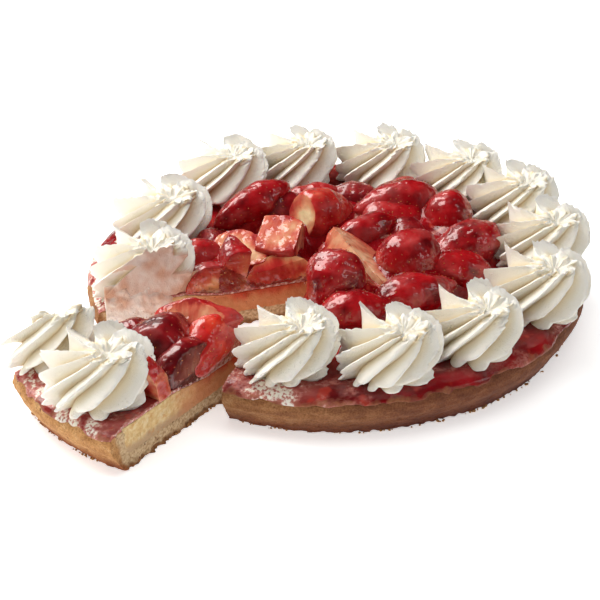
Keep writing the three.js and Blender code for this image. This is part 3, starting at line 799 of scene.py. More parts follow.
def scatterCrumbs():
    draw = np.random.default_rng(crumbs["seed"])
    places = []
    for middle, (first, last), count in (((0, 0), crumbs["turns"], crumbs["round"]),
                                         (tart["sliceMiddle"], sliceSides[1], crumbs["cut"])):
        for angle in draw.uniform(first + 1, last - 1, count):
            away = tart["footRadius"] - crumbs["under"] + abs(draw.normal(0, crumbs["spread"]))
            places.append([*(np.array(middle) + direction(angle) * away), 0])
    for apex, angle, side in ((tart["notchApex"], tart["notchTo"], -1),
                              (tart["slicePoint"], tart["sliceTo"], 1)):
        along = direction(angle)
        for reach in draw.uniform(*crumbs["cutReach"], crumbs["cut"]):
            away = side * abs(draw.normal(0, crumbs["spread"]))
            places.append([*(np.array(apex) + along * reach + leftOf(along) * away), 0])
    vertices, faces = [], []
    for place in places:
        body, sides = crumbBody(np.array(place), draw.uniform(*crumbs["size"]), draw)
        faces += [[len(vertices) + v for v in side] for side in sides]
        vertices += body.tolist()
    piece = addMesh("pastry_crumbs", vertices, faces)
    for name, value in (("wall", 1), ("toast", 0), ("bake", 0.2), ("low", 0)):
        setField(piece.data, name, np.full(len(vertices), value))
    finishPiece(piece, "pastry", "pastry")


scatterCrumbs()


# Piped cream. A star nozzle leaves fins with flat sides and sharp crests, which wind as it turns, and
# it was drawn away to one side, so that the rough middle leans. Each profile lists how far along it
# from foot to middle, then the radius and the height there as shares of the whole.
cream = {
    "petals": 9,
    "rows": 72,
    "shares": [0, 0.1, 0.22, 0.35, 0.48, 0.6, 0.72, 0.83, 0.92, 0.96, 0.985],
    "lift": 1.02,
    "foot": tart["bankHeight"] + tart["glazeThickness"] + 0.3,
    "tipAt": 0.32,
    "crestFoot": [(0, 0.86, 0), (0.06, 0.93, 0.14), (0.15, 0.84, 0.42), (0.22, 0.94, 0.64),
                  (0.28, 1.0, 0.85), (0.32, 1.0, 1)],
    "crestTop": [(0.32, 1.0, 0), (0.38, 0.94, 0.14), (0.55, 0.77, 0.46), (0.78, 0.54, 0.83),
                 (0.9, 0.42, 0.98), (1, 0.34, 1.0)],
    "collar": [(0.2, 0, 0), (0.32, -0.02, 0.02), (0.55, 0.16, 0.05), (0.78, 0.17, 0.07),
               (0.9, 0.07, 0.02), (1, 0, 0)],
    "collarSide": (60, 0.45, 0.8),
    "groove": [(0, 0.6, 0), (0.2, 0.64, 0.2), (0.36, 0.62, 0.4), (0.52, 0.57, 0.56), (0.7, 0.49, 0.71),
               (0.85, 0.41, 0.86), (1, 0.33, 0.98)],
    "grooveLift": 0.16,
    "tips": (0.55, 0.27, 100, 1.6),
    "hub": 0.96,
    "face": 0.64,
    "flanks": (0.17, -0.02),
    "wind": (85, 50, 20),
    "winding": ([0, 0.3, 0.66, 1], [0, 0.24, 0.6, 1]),
    "crowd": (0.42, 40),
    "uneven": (0.4, 0.14, 0.16),
    "lean": (9.5, -4.5),
    "leanFrom": (0.22, 1.15),
    "crater": (0.8, 0.6, 0.4, 0.2),
    "craterDepth": 0.11,
    "firstSeed": 100,
}
# How the cream is rough, as (size, depth): its serrated crests, its soft swell, its torn hub and its pits.
creamWear = {"tooth": (1.5, 1.1), "swell": (7, 0.45), "torn": (2.2, 1.5), "pits": (1.7, 0.33), "patch": 15,
             "pitDepth": (1.0, 1.8), "ragged": (0.55, 0.1, 1.4), "upward": (0.8, 0.9, 0.04), "shrink": 0.6,
             "hubFrom": (0.74, 0.98), "crater": (2.0, (0.3, 0.3, 1.5))}
# Each rosette's turn about the tart, its distance from the middle, its radius and, where it isn't the usual
# one, its lift.
cakeCream = [
    (194.6, 98.6, 26, 1.1), (160.5, 95, 26.5), (126, 103, 25.5), (102, 101.5, 25), (75.5, 103, 25),
    (50.5, 103.5, 25.5), (28.5, 105, 26), (4, 102.5, 25.5), (335.5, 104, 26.5), (307, 100, 25),
    (282, 101.5, 25), (255.5, 98.5, 25),
]
sliceCream = [(226.4, 103, 26), (201.5, 105, 27)]


# A seeded draw between 0 and 1: the same row of numbers at each run.
def seededDraw(seed):
    state = seed
    while True:
        state = (state * 1664525 + 1013904223) % 2 ** 32
        yield state / 2 ** 32


def profileAlong(points, along):
    place, radius, height = zip(*points)
    return np.interp(along, place, radius), np.interp(along, place, height)


def pipedBody(radius, lift, seed):
    draw = seededDraw(seed)
    petals, per = cream["petals"], 2 * len(cream["shares"])
    along = np.linspace(0, 1, cream["rows"])
    below = along < cream["tipAt"]
    footRadius, footRise = profileAlong(cream["crestFoot"], along)
    topRadius, topRise = profileAlong(cream["crestTop"], along)
    crestRadius = np.where(below, footRadius, topRadius)
    grooveRadius, grooveHeight = profileAlong(cream["groove"], along)
    bulge, rise = profileAlong(cream["collar"], along)
    collarSide, collarMean, collarSway = cream["collarSide"]
    step = 2 * np.pi / petals
    start = next(draw) * step
    crowd, openSide = cream["crowd"][0], math.radians(cream["crowd"][1])

    def crowded(angle):
        return angle + crowd * math.sin(angle - openSide)

    stray, sizes, tips = cream["uneven"]
    fins = [{
        "groove": crowded(start + (petal + stray * (next(draw) - 0.5)) * step),
        "size": 1 - sizes / 2 + sizes * next(draw),
        "tip": tips * (next(draw) - 0.5),
    } for petal in range(petals)]
    mean, sway, side = (math.radians(v) for v in cream["wind"])
    winding = np.interp(along, *cream["winding"])

    def wound(angle):
        return angle + (mean + sway * math.cos(angle - side)) * (winding - 0.5)

    tipMiddle, tipSwing, tipSide, tipSharp = cream["tips"]

    # How far a petal is on the side where the nozzle rose, from -1 to 1.
    def raised(angle):
        return math.tanh(tipSharp * math.cos(angle - math.radians(tipSide))) / math.tanh(tipSharp)

    rings = np.zeros((len(along), petals * per, 3))
    depth = np.zeros(rings.shape[:2])
    up, down = cream["shares"], [1 - share for share in cream["shares"][:0:-1]]
    wide, steep = cream["flanks"]
    for petal, fin in enumerate(fins):
        a0 = fin["groove"]
        a1 = fins[(petal + 1) % petals]["groove"] + 2 * np.pi * (petal + 1 == petals)
        middle = a0 + (a1 - a0) * cream["face"]
        collar = min(1, max(0, collarMean + collarSway * math.cos(middle - math.radians(collarSide))))
        crest = (crestRadius + bulge * collar) * (1 + (fin["size"] - 1) * (1 - along))
        tipTurn = float(np.interp(cream["tipAt"], along, wound(middle)))
        tip = tipMiddle + tipSwing * raised(tipTurn) + fin["tip"]
        lifted = np.where(below, tip * footRise, tip + (cream["hub"] - tip) * topRise) + rise * collar
        ends = []
        for turn, away, height in ((a0, grooveRadius, None), (middle, crest, lifted),
                                   (a1, grooveRadius, None)):
            turn = wound(turn)
            if height is None:
                lifts = np.array([raised(v) for v in turn])
                height = grooveHeight * (1 + cream["grooveLift"] * lifts * (1 - along))
            ends.append(np.stack([away * np.cos(turn), away * np.sin(turn), height], axis=1))
        sides = [(ends[0], ends[1], s, 1 - s, wide) for s in up]
        sides += [(ends[1], ends[2], s, s, steep) for s in [0] + down]
        for i, (first, last, share, deep, swell) in enumerate(sides):
            point = first + (last - first) * share
            point[:, :2] *= 1 + swell * math.sin(math.pi * share)
            rings[:, petal * per + i] = point
            depth[:, petal * per + i] = deep
    rings *= [radius, radius, radius * lift]
    spot = rings.reshape(-1, 3) + np.array([seed * 31.7, 0, 0])

    def rough(size, number, octaves=1):
        return lumps(spot, size, number, octaves).reshape(depth.shape)

    outward = rings[..., :2] / np.maximum(np.linalg.norm(rings[..., :2], axis=2, keepdims=True), 1e-6)
    ridge = (1 - depth) ** 3
    hub = ramp(along, *creamWear["hubFrom"])[:, None]
    usual, least, most = creamWear["ragged"]
    ragged = np.clip(usual + rough(creamWear["patch"], 70), least, most)
    (toothSize, tooth), (swellSize, swell), (tornSize, torn) = (
        creamWear[key] for key in ("tooth", "swell", "torn"))
    tooth = rough(toothSize, 71) * ridge * tooth * ragged
    body = rough(swellSize, 72, 2) * swell
    torn = rough(tornSize, 73, 3) * hub * torn
    pitSize, pitShare = creamWear["pits"]
    petalPits, hubPits = creamWear["pitDepth"]
    holes = pits(spot, pitSize, 74, pitShare).reshape(depth.shape) * (petalPits * ragged ** 2 + hubPits * hub)
    rings[..., :2] += outward * (tooth + body + torn - holes - creamWear["shrink"])[..., None]
    hubShare, toothShare, clear = creamWear["upward"]
    rings[..., 2] += (torn - hub) * hubShare + tooth * toothShare * (along > clear)[:, None]
    rings[..., 2] = np.maximum(rings[..., 2], 0)
    crater = []
    craterSize, craterDepths = creamWear["crater"]
    for part in cream["crater"]:
        ring = rings[-1].copy()
        centre = ring.mean(axis=0)
        ring = centre + (ring - centre) * [part, part, 0.6 + 0.4 * part]
        ring[:, 2] -= radius * cream["craterDepth"] * (1 - part)
        ring += lumps(ring + [seed, 0, 0], craterSize, 75, 3)[:, None] * craterDepths
        crater.append(ring)
    rings = np.concatenate([rings, np.array(crater)])
    # The crater's rings take part of the grooves' painted shade.
    depth = np.concatenate([depth, np.repeat(depth[-1:] * 0.4 + 0.35, len(crater), axis=0)])
    leanFrom, leanPower = cream["leanFrom"]
    along = np.append(along, [1] * len(crater))
    bend = np.clip((along - leanFrom) / (1 - leanFrom), 0, 1)[:, None] ** leanPower
    rings[..., 0] += cream["lean"][0] * bend
    rings[..., 1] += cream["lean"][1] * bend
    vertices, faces = ringBody(rings, [0, 0, 0], rings[-1].mean(axis=0).tolist())
    return vertices, faces, np.concatenate([depth.ravel(), [1, 0.5]])


def pipe(prefix, number, middle, angle, reach, radius, lift=cream["lift"]):
    vertices, faces, depth = pipedBody(radius, lift, cream["firstSeed"] + number)
    vertices = vertices + np.array([*(np.array(middle) + direction(angle) * reach), cream["foot"]])
    name = f"{prefix}rosette_{number}"
    # The groove field, 1 in the grooves and 0 on the crests, places the grooves' painted shade.
    return addMesh(name + "_piped", vertices, faces, {"groove": depth, "stain": depth * 0}), name


# The cut face of the rosette that the knife went through is painted pinkish: partly juice smeared by the
# knife, partly painted shade with a painted reddish bounce of light, most where it is low.
blush = {"mean": 0.55, "patches": (6, 0.5), "low": (36.5, 22.5, 0.25), "least": 0.15}
for number, entry in enumerate(cakeCream, 1):
    rosette, name = pipe("", number, (0, 0), *entry)
    if number == 1:
        cutWith(rosette, notchKnives["cream"], "DIFFERENCE")
        points = meshPoints(rosette.data)
        size, share = blush["patches"]
        top, bottom, more = blush["low"]
        stain = blush["mean"] + share * lumps(points, size, 76, 3) + ramp(points[:, 2], top, bottom) * more
        setField(rosette.data, "stain", onCut(points, notchSides) * np.clip(stain, blush["least"], 1))
    finishPiece(rosette, "cream", "cream", name)
for number, entry in enumerate(sliceCream, 1):
    rosette, name = pipe("slice_", number, tart["sliceMiddle"], *entry)
    if number == 2:
        cutWith(rosette, sliceKnives["cream"], "INTERSECT")
    finishPiece(rosette, "cream", "cream", name)

# Cream that the knife dragged down the cut, below the rosette that it went through: where it lies along the
# cut and in height, how thick it is, and how it fades out at its edges.
dragged = {"from": 62, "to": 112, "bottom": 9.5, "top": 34.5, "thick": 1.1, "step": 0.6, "behind": 1.2,
           "ragged": (6, 3.2), "fadeFrom": (5, 22), "fadeUp": (2, 5), "slope": (23.5, 76, 1.4),
           "fadeDown": (2, 9), "patchy": (3, 0.8, 0.5), "sink": 0.9, "stain": (88, 66, 0.4, 6, 0.6)}


def dragCream():
    along = direction(tart["notchFrom"])
    s, z = np.meshgrid(np.arange(dragged["from"], dragged["to"], dragged["step"]),
                       np.arange(dragged["bottom"], dragged["top"], dragged["step"]), indexing="ij")
    flat = np.stack([s, z, 0 * s], axis=-1).reshape(-1, 3)
    size, stray = dragged["ragged"]
    ragged = (lumps(flat, size, 77, 4) * stray).reshape(s.shape)
    (near, far), (low, high) = dragged["fadeFrom"], dragged["fadeUp"]
    kept = np.minimum(ramp(s + 2 * ragged, dragged["from"] + near, dragged["from"] + far),
                      ramp(z + ragged, dragged["bottom"] + low, dragged["bottom"] + high))
    height, start, slope = dragged["slope"]
    top = np.minimum(dragged["top"], height + (s - start) * slope)
    kept = np.minimum(kept, ramp(top - z + ragged, *dragged["fadeDown"]))
    size, usual, share = dragged["patchy"]
    patchy = usual + share * lumps(flat, size, 78, 3).reshape(s.shape)
    thick = dragged["thick"] * kept * patchy - dragged["sink"] * (1 - kept)
    sheets = []
    for off in (thick, np.full(s.shape, -dragged["behind"])):
        plan = np.array(tart["notchApex"]) + along * s[..., None] + leftOf(along) * off[..., None]
        sheets.append(np.concatenate([plan, z[..., None]], axis=2).reshape(-1, 3))
    vertices = np.concatenate(sheets)
    rows, columns = s.shape
    behind = rows * columns
    edge = [(0, j) for j in range(columns)] + [(i, columns - 1) for i in range(1, rows)]
    edge += [(rows - 1, j) for j in range(columns - 2, -1, -1)] + [(i, 0) for i in range(rows - 2, 0, -1)]
    faces = gridFaces(rows, columns).tolist()
    faces += [f[::-1] for f in gridFaces(rows, columns, start=behind).tolist()]
    for (i0, j0), (i1, j1) in zip(edge, edge[1:] + edge[:1]):
        a, b = i0 * columns + j0, i1 * columns + j1
        faces.append([a, b, b + behind, a + behind][::-1])
    reach = (vertices[:, :2] - tart["notchApex"]) @ along
    # Its stain: juice smeared nearest the fruit, and all over painted shade with a painted reddish bounce of
    # light.
    far, near, usual, size, share = dragged["stain"]
    stain = ramp(reach, far, near) + usual + share * lumps(vertices, size, 76, 3)
    stain = np.clip(stain, blush["least"], 1)
    sheet = addMesh("cream_dragged", vertices, faces, {"groove": stain * 0, "stain": stain})
    finishPiece(sheet, "cream", "cream")


dragCream()
print("cream piped")


# Strawberries: each is at a place, with its length, width and thickness, its roll, the lift of its tip and
# its turn, how it was cut and its shade. A cut is an axis of the fruit, a side and a place along it.
fruitCuts = {
    "whole": [],
    "half": [(2, -1, -0.05)],
    "stem": [(0, -1, -0.3)],
    "wedge": [(2, -1, -0.1), (1, -1, -0.1)],
    "block": [(2, -1, -0.25), (0, 1, 0.2), (0, -1, -0.28)],
    "slab": [(2, -1, -0.3), (2, 1, 0.3)],
}
# Fruit in the dark shade lies low and behind the others; its darkness is painted shade.
cakeFruit = [
    ((-43, 43, 34.5), (50, 21, 21), (0, -16, 212), "whole", "red"),
    ((-28, 48, 29.5), (40, 25, 23), (0, 0, -6), "whole", "dark"),
    ((-11, 60, 30.5), (30, 20, 19), (0, 10, 10), "whole", "red"),
    ((-6, 34, 34.5), (42, 28, 27), (20, -14, 36), "stem", "pale"),
    ((-26, 5, 32.5), (42, 30, 28), (198, 0, -14), "block", "salmon"),
    ((-47, -2, 32.5), (30, 26, 24), (196, -8, -34), "half", "salmon"),
    ((-47, -17, 28.5), (38, 25, 26), (-70, 50, 116), "half", "red"),
    ((-66, -2, 27.5), (32, 22, 21), (10, 0, 14), "whole", "red"),
    ((-59, -22, 24.5), (34, 22, 22), (-20, 0, 12), "whole", "red"),
    ((-27, -15, 25.5), (36, 24, 22), (-60, 5, 14), "wedge", "blushed"),
    ((-1, -39, 33.5), (36, 33, 31), (20, -50, 240), "whole", "red"),
    ((11, 8, 34.5), (50, 19, 18), (0, -14, 205), "whole", "red"),
    ((12, -21, 35.5), (50, 34, 30), (243, -16, 304), "wedge", "salmon"),
    ((32, 44, 35.5), (48, 27, 24), (0, -6, 195), "whole", "red"),
    ((33, 35, 30.5), (44, 30, 25), (0, 4, 12), "whole", "red"),
    ((41, 68, 28.5), (34, 22, 20), (0, 0, 150), "whole", "red"),
    ((58, 28, 33.5), (33, 26, 24), (0, -46, 262), "whole", "red"),
    ((64, 3, 31.5), (43, 27, 24), (0, -16, 202), "whole", "red"),
    ((36, -18, 34.5), (34, 34, 31), (0, -25, 300), "whole", "red"),
    ((36, 15, 30.5), (28, 24, 22), (0, 0, 80), "whole", "dark"),
    ((59, -20, 30.5), (37, 25, 22), (0, 10, 190), "whole", "red"),
    ((37, -43, 30.5), (46, 26, 22), (0, 4, 18), "whole", "red"),
    ((9, -56, 29.5), (36, 24, 20), (0, 0, 8), "whole", "red"),
    ((10, 62, 28.5), (36, 23, 20), (0, 0, 170), "whole", "dark"),
    ((-62, 14, 26.5), (30, 22, 18), (0, 0, 70), "whole", "dark"),
    ((66, 46, 26.5), (26, 20, 18), (0, 0, 40), "whole", "dark"),
]
# As on the tart, the slice's fruit in the dark shade is painted shade.
sliceFruit = [
    ((-80, -92, 32.5), (36, 31, 31), (20, 30, 60), "whole", "dark"),
    ((-64, -79, 37.5), (42, 19, 16), (40, 4, -7), "slab", "salmon"),
    ((-82, -121, 29.5), (32, 16, 14), (0, 80, 235), "slab", "blushed"),
    ((-61, -91, 29.5), (46, 20, 24), (30, -16, 233), "whole", "bright"),
    ((-71, -106, 28.5), (36, 24, 24), (0, 0, 226), "whole", "dark"),
    ((-95, -86, 29.5), (30, 23, 22), (0, 0, 200), "whole", "dark"),
]
fruitShape = {"rows": 74, "sides": 84, "profile": (0.82, 0.62), "swell": (13, 1.3), "crease": (9, 0.9),
              "wrinkle": (3.6, 0.2), "shrink": 0.3, "dimple": (0.32, 1.1), "cutRipple": (4, 0.25),
              "above": 0.7}
seedShape = {"gap": 3.7, "crowding": 1.25, "stray": (0.16, 0.008), "size": (0.9, 0.55, 0.35), "sides": 5,
             "levels": ((-0.8, 0.5), (-0.2, 1.0), (0.45, 0.75)), "clear": 0.6, "sunk": 0.45, "lowest": -0.25}
# The strawberries of the tart that the knife went through, and those of the slice that it left whole.
notched = (7, 8, 9, 10, 11)
overhanging = (2, 4)


def fruitProfile(share):
    tip, fullness = fruitShape["profile"]
    return 0.5 * np.sin(np.pi * np.clip(share, 0, 1) ** tip) ** fullness


def fruitPose(at, tilt):
    roll, lift, turn = (math.radians(v) for v in tilt)
    rotation = Matrix.Rotation(turn, 3, "Z") @ Matrix.Rotation(-lift, 3, "Y") @ Matrix.Rotation(roll, 3, "X")
    return np.array(rotation), np.array(at, float)


def fruitPoints(size, share, angle):
    reach = fruitProfile(share)
    return np.stack([(share - 0.5) * size[0], reach * np.cos(angle) * size[1],
                     reach * np.sin(angle) * size[2]], axis=-1)


def fruitNormal(points, size):
    outward = points / np.square(size)
    return outward / np.linalg.norm(outward, axis=-1, keepdims=True)


# Where a fruit's seeds sit, in rings about its length.
def seedPlaces(size, seed):
    length, width, thick = size
    rows = int(length * seedShape["crowding"] / seedShape["gap"])
    draw = np.random.default_rng(seed)
    stray, strayAlong = seedShape["stray"]
    found = []
    for row in range(1, rows):
        share = (1 - math.cos(math.pi * row / rows)) / 2
        around = math.pi * (width + thick) * float(fruitProfile(share))
        count = max(3, int(around / seedShape["gap"]))
        for i in range(count):
            angle = 2 * math.pi * (i + 0.5 * (row % 2) + draw.uniform(-stray, stray)) / count
            found.append((share + draw.uniform(-strayAlong, strayAlong), angle))
    return np.array(found)


seedVertices, seedFaces = [], []


def addSeed(point, outward, along):
    side = np.cross(outward, along)
    side /= np.linalg.norm(side)
    along = np.cross(side, outward)
    length, width, thick = seedShape["size"]
    angle = 2 * np.pi * np.arange(seedShape["sides"]) / seedShape["sides"]
    around = (np.outer(np.cos(angle), side) * width + np.outer(np.sin(angle), outward) * thick) * 0.5
    rings = [point + along * level * length * 0.5 + around * swell for level, swell in seedShape["levels"]]
    end = along * length * 0.5
    vertices, faces = ringBody(np.array(rings), point - end, point + end)
    seedFaces.extend([len(seedVertices) + v for v in face] for face in faces)
    seedVertices.extend(vertices)


def pickFruit(name, entry, seed, middle):
    at, size, tilt, cut, _ = entry
    rotation, place = fruitPose(at, tilt)
    rows, sides = fruitShape["rows"], fruitShape["sides"]
    share = (1 - np.cos(np.pi * np.arange(1, rows) / rows)) / 2
    share, angle = np.meshgrid(share, 2 * np.pi * np.arange(sides) / sides, indexing="ij")
    rings = fruitPoints(size, share, angle)
    flat = rings.reshape(-1, 3)
    seedPoints = fruitPoints(size, *seedPlaces(size, seed).T)
    near = np.full(len(flat), 1e9)
    for point in seedPoints:
        near = np.minimum(near, ((flat - point) ** 2).sum(axis=1))
    (wide, swell), (long, crease), (small, wrinkle) = (
        fruitShape[key] for key in ("swell", "crease", "wrinkle"))
    body = lumps(flat + seed * 17.3, wide, 81, 2) * swell
    body -= np.abs(lumps(flat + seed * 9.1, long, 82)) * crease
    body += lumps(flat + seed * 5.3, small, 84, 2) * wrinkle
    dimple, dimpleWidth = fruitShape["dimple"]
    body -= dimple * np.exp(-near / dimpleWidth)
    flat = flat + fruitNormal(flat, size) * (body - fruitShape["shrink"])[:, None]
    bare = np.zeros(len(flat))
    rippleSize, ripple = fruitShape["cutRipple"]
    for axis, side, where in fruitCuts[cut]:
        plane = where * size[axis]
        past = (flat[:, axis] - plane) * side > 0
        uneven = ripple * lumps(flat + 50, rippleSize, 83, 2)
        flat[past, axis] = plane + uneven[past]
        bare[past] = 1
    vertices, faces = ringBody(flat.reshape(rings.shape), [-size[0] / 2, 0, 0], [size[0] / 2, 0, 0])
    for pole in (-2, -1):
        for axis, side, where in fruitCuts[cut]:
            if (vertices[pole, axis] - where * size[axis]) * side > 0:
                vertices[pole, axis] = where * size[axis]
    bareEnds = [float(any(axis == 0 and side == end for axis, side, _ in fruitCuts[cut])) for end in (-1, 1)]
    world = vertices @ rotation.T + place
    bed = fillingHeight(np.hypot(*(world[:, :2] - middle).T))
    world[:, 2] = np.maximum(world[:, 2], bed + fruitShape["above"])
    kept = np.ones(len(seedPoints), bool)
    for axis, side, where in fruitCuts[cut]:
        kept &= (seedPoints[:, axis] - where * size[axis]) * side < -seedShape["clear"]
    for point in seedPoints[kept]:
        normal = fruitNormal(point, size)
        if (rotation @ normal)[2] > seedShape["lowest"]:
            spot = point - normal * seedShape["sunk"]
            addSeed(rotation @ spot + place, rotation @ normal, rotation @ np.array([1.0, 0, 0]))
    return addMesh(name + "_glazed", world, faces, {"flesh": np.concatenate([bare, bareEnds])})


fleshMarks = {"ends": (0.02, 0.98), "skin": 0.97, "fibre": (0.5, 0.16, 0.16)}


# How far each point is from the core, where it lies in the flesh's fibres, and what the knife laid bare.
def markFlesh(piece, entry, seed, sides):
    at, size, tilt, _, _ = entry
    rotation, place = fruitPose(at, tilt)
    points = meshPoints(piece.data)
    local = (points - place) @ rotation
    reach = fruitProfile(np.clip(local[:, 0] / size[0] + 0.5, *fleshMarks["ends"]))
    rind = np.hypot(local[:, 1] / size[1], local[:, 2] / size[2]) / reach
    flesh = np.zeros(len(points), np.float32)
    piece.data.attributes["flesh"].data.foreach_get("value", flesh)
    setField(piece.data, "flesh", np.maximum(flesh, onCut(points, sides) * (rind < fleshMarks["skin"])))
    setField(piece.data, "rind", rind)
    fibre = piece.data.attributes.new("fibre", "FLOAT_VECTOR", "POINT")
    stretched = local * np.array(fleshMarks["fibre"]) + seed * 3.1
    fibre.data.foreach_set("vector", stretched.astype(np.float32).ravel())


fruits = []
for prefix, table, middle in (("", cakeFruit, (0, 0)), ("slice_", sliceFruit, tart["sliceMiddle"])):
    for number, entry in enumerate(table, 1):
        name = f"{prefix}strawberry_{number}"
        seed = 200 + number + 60 * bool(prefix)
        fruit = pickFruit(name, entry, seed, middle)
        sides = uncut
        if not prefix and number in notched:
            cutWith(fruit, notchKnives["cream"], "DIFFERENCE")
            sides = notchSides
        if prefix and number not in overhanging:
            cutWith(fruit, sliceKnives["cream"], "INTERSECT")
            sides = sliceSides
        markFlesh(fruit, entry, seed, sides)
        fruits.append(finishPiece(fruit, entry[-1], "strawberry", name))
finishPiece(addMesh("strawberry_seeds", seedVertices, seedFaces), "seed", "strawberry")
print("fruit laid, with its seeds")

# Jelly that was poured over the fruit and has set between it: its level is that of a ball rolled over
# the fruit, less what has sunk.
pool = {"radius": 84, "rings": 74, "spokes": 250, "ball": 7, "sunk": 5.5, "least": 0.25, "side": 70,
        "margin": 1.1, "smoothed": 3, "ripple": (5, 0.7), "edge": 8, "cutFilm": 0.4}


# The highest point of the pieces at each of these places, or -1 where there is none.
def surfaceAbove(pieces, plan):
    vertices, faces = [], []
    for piece in pieces:
        start = len(vertices)
        vertices.extend(v.co.copy() for v in piece.data.vertices)
        faces.extend([start + v for v in p.vertices] for p in piece.data.polygons)
    tree = BVHTree.FromPolygons(vertices, faces)
    heights = np.full(len(plan), -1.0)
    for i, (x, y) in enumerate(plan):
        hit = tree.ray_cast(Vector((x * mm, y * mm, 0.1)), Vector((0, 0, -1)))[0]
        if hit is not None:
            heights[i] = hit.z / mm
    return heights


def pourJelly(name, middle, pieces, knife, operation, sides):
    reach, count = pool["radius"] * pool["margin"], pool["side"]
    step = 2 * reach / (count - 1)
    line = np.linspace(-reach, reach, count)
    gridX, gridY = np.meshgrid(line + middle[0], line + middle[1], indexing="ij")
    away = np.hypot(gridX - middle[0], gridY - middle[1])
    base = fillingHeight(away, glazeShape["gap"], tart["glazeThickness"])
    top = surfaceAbove(pieces, np.stack([gridX.ravel(), gridY.ravel()], axis=1)).reshape(gridX.shape)
    top = np.maximum(top, base)
    span = int(pool["ball"] / step)
    offsets = [(i, j) for i in range(-span, span + 1) for j in range(-span, span + 1)
               if math.hypot(i, j) * step <= pool["ball"]]

    def shifted(values, i, j):
        padded = np.pad(values, span, mode="edge")
        return padded[span + i:span + i + count, span + j:span + j + count]

    rolled = np.max([shifted(top, i, j) for i, j in offsets], axis=0)
    rolled = np.min([shifted(rolled, i, j) for i, j in offsets], axis=0)
    for _ in range(pool["smoothed"]):
        rolled = np.mean([shifted(rolled, i, j) for i in (-1, 0, 1) for j in (-1, 0, 1)], axis=0)
    radius = np.linspace(0, pool["radius"], pool["rings"] + 1)[1:]
    angle = np.linspace(0, 2 * np.pi, pool["spokes"], endpoint=False)
    r, a = np.meshgrid(radius, angle, indexing="ij")
    x, y = r * np.cos(a), r * np.sin(a)
    u, v = (x + reach) / step, (y + reach) / step
    i, j = np.clip(u.astype(int), 0, count - 2), np.clip(v.astype(int), 0, count - 2)
    du, dv = u - i, v - j
    level = (rolled[i, j] * (1 - du) * (1 - dv) + rolled[i + 1, j] * du * (1 - dv)
             + rolled[i, j + 1] * (1 - du) * dv + rolled[i + 1, j + 1] * du * dv)
    floor = fillingHeight(r, glazeShape["gap"], glazeShape["above"])
    size, height = pool["ripple"]
    ripple = lumps(np.stack([x, y, 0 * x], axis=-1).reshape(-1, 3), size, 90, 2).reshape(r.shape) * height
    edge = ramp(pool["radius"] - r, 0, pool["edge"])
    level = floor + pool["least"] + np.maximum(level - pool["sunk"] + ripple - floor, 0) * edge
    rings = [np.stack([x + middle[0], y + middle[1], z], axis=2) for z in (floor, level)]
    rings = np.concatenate([rings[0], rings[1][::-1]])
    vertices, faces = ringBody(rings, [*middle, floor[0, 0]], [*middle, level[0].mean()])
    jelly = addMesh(name, vertices, faces)
    cutWith(jelly, knife, operation)
    bare = onCut(meshPoints(jelly.data), sides)
    for field, values in (("film", bare * pool["cutFilm"]), ("ledge", bare * 0), ("deep", 1 - bare)):
        setField(jelly.data, field, values)
    finishPiece(jelly, "jelly", "jelly")


cakeCount = len(cakeFruit)
pourJelly("jelly_between", (0, 0), fruits[:cakeCount], notchKnives["cream"], "DIFFERENCE", notchSides)
pourJelly("slice_jelly_between", tart["sliceMiddle"], fruits[cakeCount:], sliceKnives["cream"], "INTERSECT",
          sliceSides)
print("jelly poured")

for knife in [*notchKnives.values(), *sliceKnives.values()]:
    bpy.data.objects.remove(knife)


# The studio: a pale floor, soft light from behind on the left, and the camera.
studio = {
    "cameraPlace": (-17.6, -772.9, 441.8),
    "cameraTilt": 60.39,
    "lens": 104.9,
    "sensor": 36,
    "floorHalf": 3000,
    "worldColour": "#FFFFFF",
    "worldStrength": 0.1,
    "aim": (0, 0, 0.02),
}
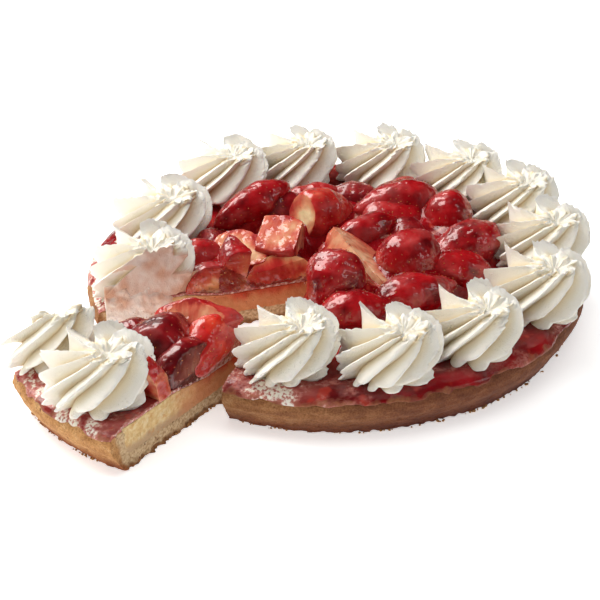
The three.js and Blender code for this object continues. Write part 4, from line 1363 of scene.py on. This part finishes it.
# White painted board, matt, with a little light of its own so that it stays pale.
boardLook = {"surface": {"Base Color": colour("#FFFFFF"), "Roughness": 0.9,
                         "Emission Color": colour("#FFFFFF"), "Emission Strength": 0.5}}
board = newMaterial("matt_white_board", boardLook)[0]
half = studio["floorHalf"]
corners = [(-half, -half, 0), (half, -half, 0), (half, half, 0), (-half, half, 0)]
floorMesh = addMesh("floor", corners, [[0, 1, 2, 3]])
floorMesh.data.materials.append(finishMaterial(board, boardLook, {}))

world = scene.world or bpy.data.worlds.new("studio")
scene.world = world
world.use_nodes = True
fillSockets(world.node_tree.nodes["Background"], {
    "Color": colour(studio["worldColour"]), "Strength": studio["worldStrength"]})
world.cycles_visibility.glossy = False

# Each lamp: its place, size, power and colour, and whether wet surfaces mirror it.
lights = [
    ("key", (-680, 560, 880), (1.0, 0.75), 16.8, "#FFFCF7", True),
    ("overhead", (0, 100, 1500), (1.8, 1.2), 11.0, "#FFFFFF", False),
    ("right", (900, -350, 750), (0.3, 0.5), 1.2, "#FFFFFF", True),
    ("left", (-1200, -450, 520), (1.0, 0.6), 5.4, "#FFFDF8", False),
    ("front", (-200, -1300, 1100), (1.6, 0.9), 2.5, "#FFFDF8", False),
]
for name, place, size, power, tone, mirrored in lights:
    lamp = bpy.data.lights.new(name, "AREA")
    lamp.shape = "RECTANGLE"
    lamp.size, lamp.size_y = size
    lamp.energy = power
    lamp.color = colour(tone)[:3]
    holder = bpy.data.objects.new(name, lamp)
    holder.location = np.array(place) * mm
    holder.visible_glossy = mirrored
    aim = Vector(studio["aim"]) - holder.location
    holder.rotation_euler = aim.to_track_quat("-Z", "Y").to_euler()
    scene.collection.objects.link(holder)

lens = bpy.data.cameras.new("camera")
lens.lens = studio["lens"]
lens.sensor_width = studio["sensor"]
camera = bpy.data.objects.new("camera", lens)
camera.location = np.array(studio["cameraPlace"]) * mm
camera.rotation_euler = (math.radians(studio["cameraTilt"]), 0, 0)
scene.collection.objects.link(camera)
scene.camera = camera
scene.view_settings.view_transform = "Standard"
print("studio lit")
